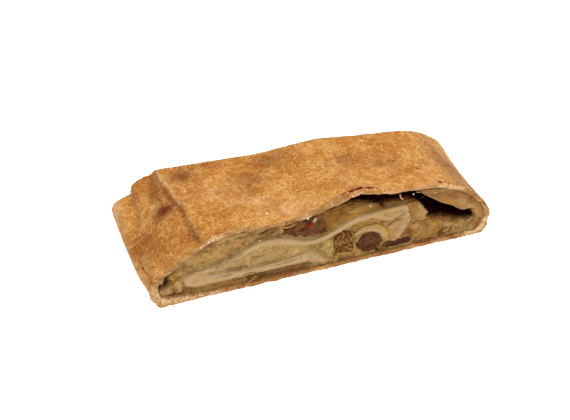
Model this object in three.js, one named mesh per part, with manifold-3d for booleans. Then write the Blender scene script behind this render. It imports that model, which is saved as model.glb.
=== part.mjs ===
// A portion of apple strudel, cut across a baked loaf. Units are millimetres and +Z is up.
//
// The loaf's width runs along X. The near cut face is the plane y = -DEPTH_LEFT / 2, and the far cut
// runs slightly askew to it, so the portion is deeper at its left end than at its right. Everything
// inside is drawn once, as outlines on the near cut, and carried back through the portion by place(),
// which lets the layers sink as the crown of the loaf gets lower. The origin is the centre of the
// base, on the surface that the portion lies on.

import * as THREE from 'three';
import { mergeVertices } from 'three/addons/utils/BufferGeometryUtils.js';
import Module from 'manifold-3d';

// ---- Driving dimensions ----

const LOAF_WIDTH = 130; // baked side to baked side, along X
const DEPTH_LEFT = 50; // cut to cut at the left end, along Y
const DEPTH_RIGHT = 40; // cut to cut at the right end
const GAP = 0.35; // clear space between pieces that touch
const CRUST = 1.6; // baked skin over the filling
const CUT_ROUGHNESS = 0.9; // how deep the filling's lumps are on a cut face
const CUT_RECESS = 0.15; // how far the filling's highest lumps lie behind the crust's cut edge
const LAYER_DRIFT = 1.3; // how far a rolled layer wanders up or down from one cut to the other
const LEFT_DRAW_IN = 1.8; // how far the left end of the filling draws in towards the far cut
const CREASE_STEP = 0.9; // height of the overlapping sheet's edge on the crown
const DENT_DEPTH = 0.7; // soft dents in the crown
const SKIN_WOBBLE = 0.25; // unevenness of the crust's skin
const RIGHT_WAIST = 1.1; // how far the right side draws in between the two cuts
const LEFT_BULGE = 0.48; // how far the left side swells out between them
const SLIVER = 0.05; // cuts are tidied of edges that bend by less than this
const HOLLOW_END = 0.66; // the steam hollow ends at this share of the depth
const CROWN_LIFT = 9; // how far the filling under the lifted crown rises to meet it behind the gap
const RAG_RISE = 0.2; // how far the crust's cut edge is torn away under the crown
const RAG_SWING = 0.3; // how much that tear rises and falls

// Shares of the depth at which each lofted piece has a section.
const STATIONS = [0, 0.05, 0.16, 0.32, 0.48, 0.64, 0.82, 1];

const HALF_WIDTH = LOAF_WIDTH / 2;
const FRONT = -DEPTH_LEFT / 2;

const { clamp, lerp, smoothstep } = THREE.MathUtils;

// A smooth height line through points [x, z] listed by rising x, level beyond its two ends.
function line(points) {
  const slope = (i) => {
    const [before, after] = [points[Math.max(i - 1, 0)], points[Math.min(i + 1, points.length - 1)]];
    return (after[1] - before[1]) / (after[0] - before[0]);
  };
  return (x) => {
    const next = points.findIndex((point) => point[0] > x);
    const i = clamp(next < 0 ? points.length - 2 : next - 1, 0, points.length - 2);
    const [[x0, z0], [x1, z1]] = [points[i], points[i + 1]];
    const run = x1 - x0;
    const s = clamp((x - x0) / run, 0, 1);
    const bend = z0 * (1 + 2 * s) * (1 - s) ** 2 + z1 * s * s * (3 - 2 * s);
    return bend + run * (slope(i) * s * (1 - s) ** 2 - slope(i + 1) * s * s * (1 - s));
  };
}

// Points of a height line from one x to another, in either direction.
function along(height, from, to, spacing = 3) {
  const count = Math.max(1, Math.round(Math.abs(to - from) / spacing));
  return Array.from({ length: count + 1 }, (_, i) => {
    const x = lerp(from, to, i / count);
    return [x, height(x)];
  });
}

// ---- The loaf's outside ----

// The crown's height line on the near cut, lifted off the filling to the right of the middle.
const crownNear = line([
  [-55, 16], [-50, 19.5], [-45, 22.5], [-40, 24.5], [-35, 25.3], [-29, 25.7], [-20, 24.6], [-14, 24.5],
  [-6, 25.9], [0, 27.5], [5, 29], [10, 31], [13, 31.5], [17, 30.8], [21, 29.6], [26, 28.6], [34, 27.8],
  [40, 27.2], [45, 25.7], [50, 23.5], [55, 20.8], [60, 16.5],
]);
// The same line on the far cut, where the loaf has settled.
const crownFar = line([
  [-55, 18.3], [-50, 20.3], [-46, 21.1], [-38, 21.5], [-24, 21.7], [-9, 21.8], [-1, 22.8], [7, 23.7],
  [14, 24.2], [22, 23.4], [31, 22.8], [40, 22.3], [47, 21.6], [51, 20.6], [55, 19], [60, 15.5],
]);

// The baked left side, from the crown down: the top sheet's lip, the seam under it, and the bottom
// sheet, which is turned up against the side and sticks out as a shelf towards the far cut.
const LEFT_NEAR = [
  [-57.4, 14.2], [-59.5, 12.6], [-61.3, 11.7], [-62.5, 11], [-62.9, 10.5], [-63.7, 9.8], [-64.2, 8.5],
  [-64.4, 7], [-64, 4.8], [-63.1, 2.4], [-62, 0.6], [-61, 0],
];
const LEFT_FAR = [
  [-56.5, 17.2], [-57.5, 16], [-57.7, 14.4], [-57.7, 13.1], [-58.1, 12.3], [-60.8, 11.3], [-63.3, 9.6],
  [-64.6, 6.9], [-64.2, 4.7], [-63.2, 2.4], [-62.1, 0.6], [-61.1, 0],
];
// The baked right side, from the base up.
const RIGHT_SIDE = [
  [61.2, 0], [62.7, 0.9], [63.9, 2.6], [64.7, 5], [65, 7.6], [64.4, 10], [63.1, 12.3], [61.6, 14.4],
];
const CROWN_ENDS = [-55, 60];

const depthAt = (x) => lerp(DEPTH_LEFT, DEPTH_RIGHT, (x + HALF_WIDTH) / LOAF_WIDTH);
const settled = (t) => 1 - clamp(1 - t, 0, 1) ** 1.4; // most of the sinking is near the first cut
const smoothCrown = (x, t) => lerp(crownNear(x), crownFar(x), settled(t));

// The line where the top sheet overlaps itself runs back over the crown, a little askew.
const creaseAt = (t) => -45.4 - 4.4 * smoothstep(t, 0.4, 0.9);
const CREASE_FADE = 9; // the overlap's step levels out over this distance
const CREASE_GROOVE = 0.4; // depth of the groove in front of the overlap
const LIP_OFFSET = 2.4; // from the overlap to where the crown starts to fall to the left side
// Soft dents in the crown, each as [x, y, reach].
const DENTS = [[19.5, 1, 7], [30, -5.5, 5], [-22, 8, 9], [-36, -6, 6]];

function crownRelief(x, t) {
  const y = FRONT + t * depthAt(x);
  const past = x - creaseAt(t);
  const overlap = CREASE_STEP * smoothstep(past, 0, 1.2) * Math.exp(-Math.max(past, 0) / CREASE_FADE);
  const groove = CREASE_GROOVE * Math.exp(-((past + 0.9) ** 2));
  const dents = DENTS.map(([dx, dy, reach]) => Math.exp(-((x - dx) ** 2 + (y - dy) ** 2) / reach ** 2));
  const ripple = Math.sin(x * 0.42 + 1.3 * Math.sin(y * 0.21)) * Math.sin(y * 0.34 + x * 0.11);
  const dent = DENT_DEPTH * dents.reduce((sum, depth) => sum + depth, 0);
  const awayFromCuts = smoothstep(t, 0, 0.1) * smoothstep(1 - t, 0, 0.1);
  return overlap - groove + (SKIN_WOBBLE * ripple - dent) * awayFromCuts;
}

function outerOutline(t) {
  const crease = creaseAt(t);
  const [left, right] = CROWN_ENDS;
  const lip = crease - LIP_OFFSET;
  const crownXs = [
    58, 54.5, 51, 47.5, 44, 40.5, 37, 33.5, 30, 26.5, 23, 19.5, 16.5, 14, 11.5, 8.5, 5, 1.5, -2.5, -6.5,
    -11, -15.5, -20, -24.5, -29, -33, -37, crease + 4.2, crease + 1.6, crease + 0.7, crease, crease - 0.9,
    lip, lerp(lip, left, 1 / 3), lerp(lip, left, 2 / 3), left,
  ];
  const base = Array.from({ length: 16 }, (_, i) => [lerp(-56, 56, i / 15), 0]);
  const crown = [right, ...crownXs].map((x) => [x, smoothCrown(x, t) + crownRelief(x, t)]);
  const side = LEFT_NEAR.map(([x, z], i) => [
    lerp(x, LEFT_FAR[i][0], settled(t)),
    lerp(z, LEFT_FAR[i][1], settled(t)),
  ]);
  const swell = Math.sin(Math.PI * t);
  return [...base, ...RIGHT_SIDE, ...crown, ...side].map(([x, z]) => {
    const toTheLeft = LEFT_BULGE * smoothstep(-x, 54, 64) + RIGHT_WAIST * smoothstep(x, 48, 63);
    return [x - swell * toTheLeft, z];
  });
}

const onCut = (x, z, t) => new THREE.Vector3(x, FRONT + t * depthAt(x), z);

// ---- The inside, drawn on the near cut ----

const ceiling = line([
  [-57, 13], [-53, 16], [-50, 18], [-45, 20.8], [-40, 23.1], [-35, 23.9], [-28, 24.1], [-20, 23],
  [-14, 22.9], [-10, 23.2], [-5, 24.4], [0, 25.5], [5, 26.7], [10, 28.4], [13, 29.2], [16, 28.7],
  [20, 27.5], [25, 26.4], [30, 25.9], [35, 25.6], [40, 25], [45, 23.8], [50, 21.6], [55, 18.7], [58, 16],
]);
const floor = line([[-58, 2.8], [-50, 2], [-40, 1.7], [0, 1.5], [20, 1.5], [35, 1.6], [50, 1.8], [58, 2]]);

const CAVITY = [
  ...along(floor, -58, 58, 8),
  [60.6, 2.8], [62.2, 5], [62.6, 7.8], [61.8, 10.6], [60.2, 13.4],
  ...along(ceiling, 58, -57, 3.2),
  [-59, 11.6], [-60.5, 10], [-61.4, 7.8], [-61.2, 5.4], [-60, 3.6],
];

// Carries a point of the near cut back to the share t of the depth.
function place(x, z, t) {
  const over = clamp(x, -50, 57);
  const sink = (smoothCrown(over, t) - CRUST) / (smoothCrown(over, 0) - CRUST);
  const height = clamp(z / ceiling(over), 0, 1);
  const drift = LAYER_DRIFT * Math.sin(x / 9 + 0.8) * t * 4 * height * (1 - height);
  const calm = smoothstep(33 - x, 0, 10) * smoothstep(x + 60, 0, 12);
  const across = x + LEFT_DRAW_IN * settled(t) * smoothstep(-45 - x, 0, 15);
  return new THREE.Vector3(across, FRONT + t * depthAt(across), z * sink + drift * calm);
}

// The rolled dough is one sheet. It runs right over the filling, folds down at its right end, and at
// its left end turns under in a blunt nose and comes back along the base.
const bandTop = line([
  [-47, 11.4], [-43, 12], [-39, 12.3], [-35, 13.6], [-30, 16.1], [-25, 18.2], [-20, 18.3], [-15, 17.5],
  [-10, 15.1], [-5, 13.9], [0, 14.7], [5, 16.7], [10, 19.1], [15, 20], [20, 20], [25, 20.2], [30, 20.6],
]);
const bandUnder = line([
  [-42, 9.9], [-39, 10.2], [-35, 11.6], [-30, 14.1], [-25, 16.1], [-20, 16.2], [-15, 15.5], [-10, 13.1],
  [-5, 12], [0, 12.9], [5, 14.8], [10, 17.1], [15, 18.1], [19, 17.8], [22, 16.4], [25, 15.4], [28, 15.3],
]);
const returnTop = line([[-42, 9.3], [-39, 8.4], [-33, 7.7], [-25, 7.5], [-15, 7.8], [-10, 8.5], [-5, 9]]);
const returnUnder = line([[-48, 5.3], [-44, 5], [-30, 5], [-20, 5], [-10, 5.2], [-6, 5.1]]);

const ROLLED_DOUGH = [
  ...along(bandTop, -47, 30),
  [31.7, 19], [32.4, 16], [32.4, 12.8], [31.8, 10], [30.4, 7.4], [28.5, 5.6], [26.8, 5.2], [25.6, 6.2],
  [24.8, 8.2], [24.2, 10.4], [24.7, 12.4], [26.3, 13.5], [28.3, 14], [28.9, 14.6],
  ...along(bandUnder, 28, -42),
  [-43.1, 9.6],
  ...along(returnTop, -42, -4.8),
  [-2.9, 7.8], [-1.4, 5.8], [-0.1, 3.7], [0.2, 2.8], [-0.6, 2.5], [-3, 3.5],
  ...along(returnUnder, -6, -48),
  [-50.4, 6], [-52, 7.7], [-52.3, 9], [-51.3, 10.3], [-49.3, 11],
];

// The second turn of dough lies inside the crust round the right end. Its free edge roofs the hollow.
const SIDE_DOUGH = [
  [55.4, -2], [66, -2], [66, 30], [36.4, 30], [36.8, 24.5], [40, 21.9], [45, 17.9], [50, 15.1], [53, 12.6],
  [56, 11.3], [58.6, 9.8], [59.1, 8.2], [58.7, 6.6], [57.3, 4.6], [55.6, 2.7],
];

// ---- The filling, as regions of the near cut that the dough and the fruit are cut out of ----

const bandMiddle = line([
  [-51, 9.6], [-46, 10.4], [-39, 11.2], [-35, 12.6], [-30, 15.1], [-25, 17.1], [-20, 17.2], [-15, 16.5],
  [-10, 14.1], [-5, 13], [0, 13.8], [5, 15.7], [10, 18.1], [15, 19], [20, 18.9], [25, 18], [31, 18],
]);
const returnMiddle = line([[-48, 7.2], [-42, 6.8], [-30, 6.3], [-15, 6.3], [-6, 7], [-3, 5.6], [-1, 3.2]]);
// The filling's top under the lifted crown on the near cut: the narrow dark gap shows above it.
const underGap = line([
  [-3, 24.6], [5, 25.8], [9, 26.2], [13, 25.2], [18, 23.6], [23, 22.3], [28, 21.8], [34, 21.4],
]);
// The filling's top below the hollow, level with the hollow's lower edge.
const hollowFloor = line([[29, 11], [38, 11.3], [40, 11.8], [45, 10.5], [50, 8.5], [53, 7.1], [58, 6.4]]);

const ABOVE = 34; // higher than any section
const BELOW = -3; // lower than any section
const OVERHANG = 4; // the block between the cuts is wider than the loaf by this
const [BLOCK_BASE, BLOCK_TOP] = [-1.8, 34.2]; // heights of that block
const RAGGED_ABOVE = 12; // the cut edge is torn where it lies higher than this
// The dark cinnamon patch ends at two slanting lines, given by their x at a height.
const cinnamonLeft = (z) => lerp(-16.4, -12.4, (z - 17) / (ABOVE - 17));
const cinnamonRight = (z) => lerp(0.9, -3.9, (z - 14) / (ABOVE - 14));

const FILLING_TOP = [
  [-64, 9.7], [-52.4, 9.7], ...along(bandMiddle, -51, -18), [cinnamonLeft(17), 17],
  [cinnamonLeft(ABOVE), ABOVE], [-64, ABOVE],
];
const FILLING_CINNAMON = [
  [cinnamonLeft(ABOVE) + GAP, ABOVE], [cinnamonLeft(17) + GAP, 17], ...along(bandMiddle, -15, -0.5),
  [cinnamonRight(14), 14], [cinnamonRight(ABOVE), ABOVE],
];
const FILLING_FOLD = [
  ...along(returnMiddle, -46, -4.3), ...along(bandMiddle, -4.3, -46),
];
const FILLING_BASE = [
  [-64, BELOW], [0.5, BELOW], [0.5, 3.2], ...along(returnMiddle, -1, -48), [-50.5, 8.4], [-51, 9.35],
  [-64, 9.35],
];
const FILLING_CORE = [
  [0.85, BELOW], [34.2, BELOW], [34.2, 4.95], [28, 4.95], [28.6, 12], [30, 15], [30, 18],
  ...along(bandMiddle, 28, -3.95), [-3.95, 5.2], [-2, 3.4], [0.85, 3.1],
];
const FILLING_SIDE = [
  [34.55, BELOW], [62, BELOW], [62, 6.4], ...along(hollowFloor, 58, 29.4), [29.4, 5.3], [34.55, 5.3],
];
const FILLING_REAR = [
  ...along(hollowFloor, 30, 58).map(([x, z]) => [x, z + GAP]), [62, 7], [62, ABOVE],
  [33.95, ABOVE], [33.95, 20.4], [30, 20.4],
];
const APPLE_FLAP = [
  [30, 11.6], [33, 11.6], [38.2, 11.9], [39.3, 12.6], [39.9, 13.7], [38.2, 15.4], [36.7, 18], [34.9, 20.3],
  [31, 20.3],
];
const APPLE_PEELED_ARC = [
  [12.6, 11.9], [16, 12.2], [19, 11.9], [21.4, 10.2], [22.6, 7.8], [23.3, 5.6], [24.9, 5.6], [24.4, 7.6],
  [23.6, 10.1], [22, 12.6], [19.6, 14.2], [16, 14.5], [13, 13.8], [11.4, 12.6],
];
const APPLE_CHUNK = [
  [0.9, 4], [1.8, 4.2], [2.7, 6.4], [3.1, 9.4], [2.6, 12.2], [0.4, 12], [-3.5, 11.2], [-3, 9.8], [-1, 6.8],
];
const DOUGH_TONGUE = [[-59.4, 8.7], [-58.5, 8.9], [-58.4, 10.2], [-59.2, 11], [-60, 10.6], [-60.2, 9.4]];

// ---- Solids ----

const wasm = await Module();
wasm.setup();

function solid(geometry) {
  const bare = new THREE.BufferGeometry();
  bare.setAttribute('position', geometry.getAttribute('position'));
  bare.setIndex(geometry.getIndex());
  const merged = mergeVertices(bare, 1e-4);
  const mesh = new wasm.Mesh({
    numProp: 3,
    vertProperties: merged.getAttribute('position').array,
    triVerts: new Uint32Array(merged.getIndex().array),
  });
  return new wasm.Manifold(mesh);
}

// The largest body of a cut solid: loose scraps between two pieces of fruit are dropped.
function largest(body) {
  return body.decompose().reduce((best, one) => (one.volume() > best.volume() ? one : best));
}

function geometryOf(body) {
  const mesh = largest(body.simplify(SLIVER)).getMesh();
  const geometry = new THREE.BufferGeometry();
  geometry.setAttribute('position', new THREE.BufferAttribute(mesh.vertProperties, mesh.numProp));
  geometry.setIndex(new THREE.BufferAttribute(mesh.triVerts, 1));
  return geometry;
}

// Moves an outline's points along their normals: outwards by a positive distance.
function grown(outline, distance) {
  const turn = THREE.ShapeUtils.area(outline.map(([x, z]) => new THREE.Vector2(x, z))) > 0 ? 1 : -1;
  return outline.map(([x, z], i) => {
    const [ax, az] = outline.at(i - 1);
    const [bx, bz] = outline[(i + 1) % outline.length];
    const before = new THREE.Vector2(z - az, ax - x).normalize();
    const after = new THREE.Vector2(bz - z, x - bx).normalize();
    const normal = before.clone().add(after).normalize();
    const reach = (turn * distance) / Math.max(normal.dot(after), 0.5);
    return [x + normal.x * reach, z + normal.y * reach];
  });
}

// A closed skin over rings of points, one ring for each station, with an optional hole through it.
function loft(rings, holes = rings.map(() => [])) {
  const flat = (ring) => ring.map((point) => new THREE.Vector2(point.x, point.z));
  const [outer, inner] = [rings[0].length, holes[0].length];
  const step = outer + inner;
  const faces = [];
  const wall = (first, count, k, inward) => {
    for (let i = 0; i < count; i++) {
      const a = k * step + first + i;
      const b = k * step + first + ((i + 1) % count);
      const [c, d] = [b + step, a + step];
      faces.push(...(inward ? [a, b, c, a, c, d] : [a, c, b, a, d, c]));
    }
  };
  for (let k = 0; k < rings.length - 1; k++) {
    wall(0, outer, k, false);
    wall(outer, inner, k, true);
  }
  const cap = (k, inward) => {
    const hole = inner ? [flat(holes[k])] : [];
    for (const [a, b, c] of THREE.ShapeUtils.triangulateShape(flat(rings[k]), hole)) {
      faces.push(...[a, inward ? c : b, inward ? b : c].map((index) => index + k * step));
    }
  };
  cap(0, false);
  cap(rings.length - 1, true);
  const geometry = new THREE.BufferGeometry();
  geometry.setFromPoints(rings.flatMap((ring, k) => [...ring, ...holes[k]]));
  geometry.setIndex(faces);
  return geometry;
}

// A piece with one outline, carried from one share of the depth to another. Its outline runs
// anticlockwise as seen on the near cut.
function carried(outline, from = 0, to = 1) {
  const anticlockwise = THREE.ShapeUtils.area(outline.map(([x, z]) => new THREE.Vector2(x, z))) > 0;
  const points = anticlockwise ? outline : [...outline].reverse();
  const inner = STATIONS.filter((t) => t > from + 0.02 && t < to - 0.02);
  const shares = [from, ...inner, to];
  return solid(loft(shares.map((t) => points.map(([x, z]) => place(x, z, t)))));
}

// Everything between the two cuts, with the lumps that a knife leaves on soft filling.
function betweenCuts(recess, roughness, columns, rows) {
  const box = new THREE.BoxGeometry(1, 1, 1, columns, 1, rows);
  const spots = box.getAttribute('position');
  const lumps = (x, z) => {
    const swirl = Math.sin(x * 0.71 + 2.2 * Math.sin(z * 0.37));
    return 0.5 + 0.25 * (swirl + Math.sin(z * 0.83 - x * 0.19));
  };
  for (let i = 0; i < spots.count; i++) {
    const x = spots.getX(i) * (LOAF_WIDTH + OVERHANG);
    const z = lerp(BLOCK_BASE, BLOCK_TOP, spots.getZ(i) + 0.5);
    const far = spots.getY(i) > 0;
    const depth = recess + roughness * lumps(far ? x + 31 : x, z);
    spots.setXYZ(i, x, FRONT + (far ? depthAt(x) - depth : depth), z);
  }
  return solid(box);
}

// A raisin or a rounded piece of fruit, wrinkled a little. Its middle is at (x, z) on the section at
// the share t of the depth, and it is cut flush where it crosses a cut face.
function fruit({ x, z, t, radii, lean = 0, wrinkle = 0.06 }, extra = 0) {
  const ball = new THREE.IcosahedronGeometry(1, 2);
  const spots = ball.getAttribute('position');
  const point = new THREE.Vector3();
  const spin = new THREE.Matrix4().makeRotationY(-lean);
  const middle = place(x, z, t);
  for (let i = 0; i < spots.count; i++) {
    point.fromBufferAttribute(spots, i);
    const fold = 1 + wrinkle * Math.sin(point.x * 5 + x) * Math.cos(point.z * 6 + 3 * point.y);
    point.set(
      point.x * (radii[0] * fold + extra),
      point.y * (radii[1] * fold + extra),
      point.z * (radii[2] * fold + extra),
    );
    point.applyMatrix4(spin).add(middle);
    spots.setXYZ(i, point.x, point.y, point.z);
  }
  return solid(ball);
}

// ---- Pieces ----

const cutFaces = betweenCuts(CUT_RECESS, 0, 1, 1);
const roughFaces = betweenCuts(CUT_RECESS, CUT_ROUGHNESS, 36, 9);
const cavity = carried(grown(CAVITY, -GAP), -0.02, 1.02);

// The crust is one ring of pastry round the filling. Its cut edge is ragged along the near cut.
function crust() {
  const rag = (x, t) => {
    const swing = Math.sin(x * 2.1) * Math.sin(x * 0.73 + 1);
    return smoothstep(0.08 - t, 0, 0.08) * (RAG_RISE + RAG_SWING * swing);
  };
  const rings = STATIONS.map((t) => outerOutline(t).map(([x, z]) => onCut(x, z, t)));
  const holes = STATIONS.map((t) =>
    CAVITY.map(([x, z]) => place(x, z + (z > RAGGED_ABOVE ? rag(x, t) : 0), t)),
  );
  return solid(loft(rings, holes));
}

const rolledDough = carried(ROLLED_DOUGH).intersect(cutFaces).intersect(cavity);
const roomForDough = carried(grown(ROLLED_DOUGH, GAP), -0.02, 1.02);
const sideDough = carried(SIDE_DOUGH).intersect(cutFaces).intersect(cavity);
const roomForSide = carried(grown(SIDE_DOUGH, GAP), -0.02, 1.02);

// Fruit that shows at a cut. Radii are along X, Y and Z.
const RAISIN_TALL = { x: 17.2, z: 6.8, t: 0.02, radii: [4.3, 6.5, 4.3] };
const RAISIN_FLAT = { x: 28.2, z: 3.35, t: 0.03, radii: [5.4, 5.5, 1.35], lean: 0.02, wrinkle: 0.03 };
const RAISIN_END = { x: -58.1, z: 6.1, t: 0.02, radii: [2.4, 4, 1.9], wrinkle: 0.05 };
const APPLE_END = { x: -54.2, z: 6.6, t: 0.02, radii: [1.5, 5, 2.5], wrinkle: 0.04 };
const CRUMBS = { x: 7, z: 9.4, t: 0.02, radii: [3.5, 6, 4.6], wrinkle: 0.12 };
const RAISIN_FAR_HIGH = { x: -33, z: 18.6, t: 0.97, radii: [4.6, 5.5, 2.6], lean: 0.35 };
const RAISIN_FAR_LOW = { x: 8, z: 7, t: 0.98, radii: [4, 6, 3], lean: -0.2 };
const APPLE_FAR = { x: -18, z: 11.8, t: 0.98, radii: [5.5, 6, 2.4], lean: 0.15, wrinkle: 0.04 };

// A piece of fruit lies within the cavity and between the cuts, clear of the dough.
const seated = (body) => body.intersect(cutFaces).intersect(cavity).subtract(roomForDough);
const shaped = (outline, from, to) => seated(carried(outline, from, to));
const roomFor = (outline, to) => carried(grown(outline, GAP), -0.02, to + 0.01);

const ARC_END = 0.34;
const CHUNK_END = 0.26;
const FLAP_END = 0.6;
const TONGUE_END = 0.2;

const fruits = {
  raisin_tall: seated(fruit(RAISIN_TALL)),
  raisin_flat: seated(fruit(RAISIN_FLAT)),
  raisin_end: seated(fruit(RAISIN_END)),
  raisin_far_high: seated(fruit(RAISIN_FAR_HIGH)),
  raisin_far_low: seated(fruit(RAISIN_FAR_LOW)),
  apple_end: seated(fruit(APPLE_END)),
  apple_far: seated(fruit(APPLE_FAR)),
  apple_chunk: shaped(APPLE_CHUNK, 0, CHUNK_END),
  apple_peeled_arc: shaped(APPLE_PEELED_ARC, 0, ARC_END).subtract(fruit(RAISIN_TALL, GAP)),
  apple_flap: shaped(APPLE_FLAP, 0, FLAP_END),
  dough_tongue: shaped(DOUGH_TONGUE, 0, TONGUE_END),
};
const roomForFruit = [
  ...[RAISIN_TALL, RAISIN_FLAT, RAISIN_END, RAISIN_FAR_HIGH, RAISIN_FAR_LOW, APPLE_END, APPLE_FAR].map(
    (berry) => fruit(berry, GAP),
  ),
  roomFor(APPLE_CHUNK, CHUNK_END),
  roomFor(APPLE_PEELED_ARC, ARC_END),
  roomFor(APPLE_FLAP, FLAP_END),
  roomFor(DOUGH_TONGUE, TONGUE_END),
].reduce((all, room) => all.add(room));

fruits.crumb_cluster = seated(fruit(CRUMBS)).subtract(roomForFruit);
const roomForCrumbs = fruit(CRUMBS, GAP);

// One filling: its region, less the dough and the fruit in it.
function filling(outline, from = 0, to = 1) {
  const body = carried(outline, from, to).intersect(roughFaces).intersect(cavity);
  const cleared = body.subtract(roomForDough).subtract(roomForSide).subtract(roomForFruit);
  return cleared.subtract(roomForCrumbs);
}

// The filling under the lifted crown: its top rises to meet the crust behind the narrow gap.
function crownFilling() {
  const region = (t) => {
    const rise = CROWN_LIFT * smoothstep(t, 0.12, 0.5);
    const left = cinnamonRight(underGap(-2) + rise) + GAP;
    const top = along(underGap, 33.6, 0).map(([x, z]) => [x, z + rise]);
    const foot = cinnamonRight(14) + GAP;
    const base = [[foot, 14], ...along(bandMiddle, 4, 29.5), [30.4, 20.75], [33.6, 20.75]];
    return [...base, ...top, [left, underGap(-2) + rise]];
  };
  const body = solid(loft(STATIONS.map((t) => region(t).map(([x, z]) => place(x, z, t)))));
  return body.intersect(roughFaces).intersect(cavity).subtract(roomForDough).subtract(roomForFruit);
}

// ---- The model ----

const material = (color, roughness) => new THREE.MeshStandardMaterial({ color, roughness, metalness: 0 });

const MATERIALS = {
  crust: material('#c4823f', 0.65),
  dough: material('#cdb28a', 0.5),
  side_dough: material('#c19a66', 0.55),
  filling: material('#b08a4e', 0.4),
  cinnamon: material('#7d5533', 0.45),
  raisin: material('#5c3a28', 0.35),
  apple: material('#c6a25f', 0.3),
  crumbs: material('#8f6534', 0.8),
};

const portion = new THREE.Group();

function add(name, body, finish) {
  const mesh = new THREE.Mesh(geometryOf(body), MATERIALS[finish]);
  mesh.name = name;
  portion.add(mesh);
}

add('crust', crust(), 'crust');
add('rolled_dough', rolledDough, 'dough');
add('side_dough', sideDough, 'side_dough');
add('filling_top', filling(FILLING_TOP), 'filling');
add('filling_cinnamon', filling(FILLING_CINNAMON), 'cinnamon');
add('filling_crown', crownFilling(), 'filling');
add('filling_fold', filling(FILLING_FOLD), 'filling');
add('filling_base', filling(FILLING_BASE), 'filling');
add('filling_core', filling(FILLING_CORE), 'filling');
add('filling_side', filling(FILLING_SIDE), 'filling');
add('filling_rear', filling(FILLING_REAR, HOLLOW_END, 1), 'filling');

const FINISH_OF = { raisin: 'raisin', apple: 'apple', crumb: 'crumbs', dough: 'dough' };
for (const [name, body] of Object.entries(fruits)) {
  add(name, body, FINISH_OF[name.split('_')[0]]);
}

export default portion;
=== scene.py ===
# %% [markdown]
# # A cut portion of apple strudel
#
# The measured model gives every piece its true place and form, but its faces are large and flat.
# This lesson dresses it as baked food, piece by piece. Each soft piece starts as a finely divided
# copy of its measured solid, so nothing drifts out of place. Geometry Nodes then press the small
# relief into it, and a node material gives it its colour, its gloss and its stains.

import math

import bmesh
import bpy
import numpy as np
from mathutils import Matrix, Vector
from mathutils.bvhtree import BVHTree
from mathutils.kdtree import KDTree


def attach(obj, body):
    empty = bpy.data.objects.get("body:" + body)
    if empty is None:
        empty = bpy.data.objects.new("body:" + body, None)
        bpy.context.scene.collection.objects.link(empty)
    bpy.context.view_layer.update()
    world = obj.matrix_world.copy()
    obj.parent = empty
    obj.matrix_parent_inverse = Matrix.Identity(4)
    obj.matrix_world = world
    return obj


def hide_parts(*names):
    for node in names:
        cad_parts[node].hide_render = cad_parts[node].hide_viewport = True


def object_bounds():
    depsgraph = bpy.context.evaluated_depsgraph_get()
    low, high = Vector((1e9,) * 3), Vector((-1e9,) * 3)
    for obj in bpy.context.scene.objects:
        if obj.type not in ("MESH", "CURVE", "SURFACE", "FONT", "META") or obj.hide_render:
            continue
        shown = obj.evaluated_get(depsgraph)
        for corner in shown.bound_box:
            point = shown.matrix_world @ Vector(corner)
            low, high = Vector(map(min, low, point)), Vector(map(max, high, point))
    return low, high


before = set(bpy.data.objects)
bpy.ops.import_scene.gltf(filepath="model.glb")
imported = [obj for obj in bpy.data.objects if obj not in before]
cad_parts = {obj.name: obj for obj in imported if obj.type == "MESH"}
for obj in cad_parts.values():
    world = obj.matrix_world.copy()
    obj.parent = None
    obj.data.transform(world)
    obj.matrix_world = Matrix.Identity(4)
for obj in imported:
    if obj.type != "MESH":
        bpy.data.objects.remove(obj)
CAD_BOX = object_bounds()
MM = 0.001
print("measured box in mm:", [[round(c / MM, 1) for c in corner] for corner in CAD_BOX])

# %% [markdown]
# ## Camera and light
#
# The portion lies on a plain white table and is seen from above its left front corner, far enough
# away that its edges stay nearly parallel. A long lens gives that view. The light is a soft panel
# overhead, a weaker one in front and a bright room all round, so that the crust has no hard highlight,
# the cut face is in gentle shade, and only the steam hollow goes dark.

# %% The camera
CAMERA_SPOT = (-0.13757, -0.36663, 0.31353)
CAMERA_TURN = math.radians(19.72)
CAMERA_DROP = math.radians(38.0)
LENS = 85.26
SENSOR = 36.0
NEAREST_SEEN = 0.01

level = math.cos(CAMERA_DROP)
looking = Vector((math.sin(CAMERA_TURN) * level, math.cos(CAMERA_TURN) * level, -math.sin(CAMERA_DROP)))
camera = bpy.data.objects.new("camera", bpy.data.cameras.new("camera"))
camera.data.lens = LENS
camera.data.sensor_width = SENSOR
camera.data.clip_start = NEAREST_SEEN
camera.location = CAMERA_SPOT
camera.rotation_mode = "QUATERNION"
camera.rotation_quaternion = looking.to_track_quat("-Z", "Y")
bpy.context.scene.collection.objects.link(camera)
bpy.context.scene.camera = camera
print("camera looks along", [round(c, 3) for c in looking])

# %% Light
PANELS = {
    "overhead_panel": ((0.15, 0.15, 1.1), 0.5, 9.2),
    "front_panel": ((0.05, -1.2, 0.8), 0.7, 3.5),
}
ROOM_GLOW = 0.35
WHITE = (1.0, 1.0, 1.0, 1.0)

scene = bpy.context.scene
scene.view_settings.view_transform = "Standard"


def softbox(name, spot, side, watts):
    """A square panel of light that faces the middle of the table. Its spot and its side are in m."""
    panel = bpy.data.objects.new(name, bpy.data.lights.new(name, "AREA"))
    panel.data.size = side
    panel.data.energy = watts
    panel.location = spot
    panel.rotation_mode = "QUATERNION"
    panel.rotation_quaternion = (-Vector(spot)).to_track_quat("-Z", "Y")
    scene.collection.objects.link(panel)


for name, panel in PANELS.items():
    softbox(name, *panel)
room = bpy.data.worlds.new("white_room")
room.use_nodes = True
background = room.node_tree.nodes["Background"].inputs
background["Color"].default_value = WHITE
background["Strength"].default_value = ROOM_GLOW
scene.world = room

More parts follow.
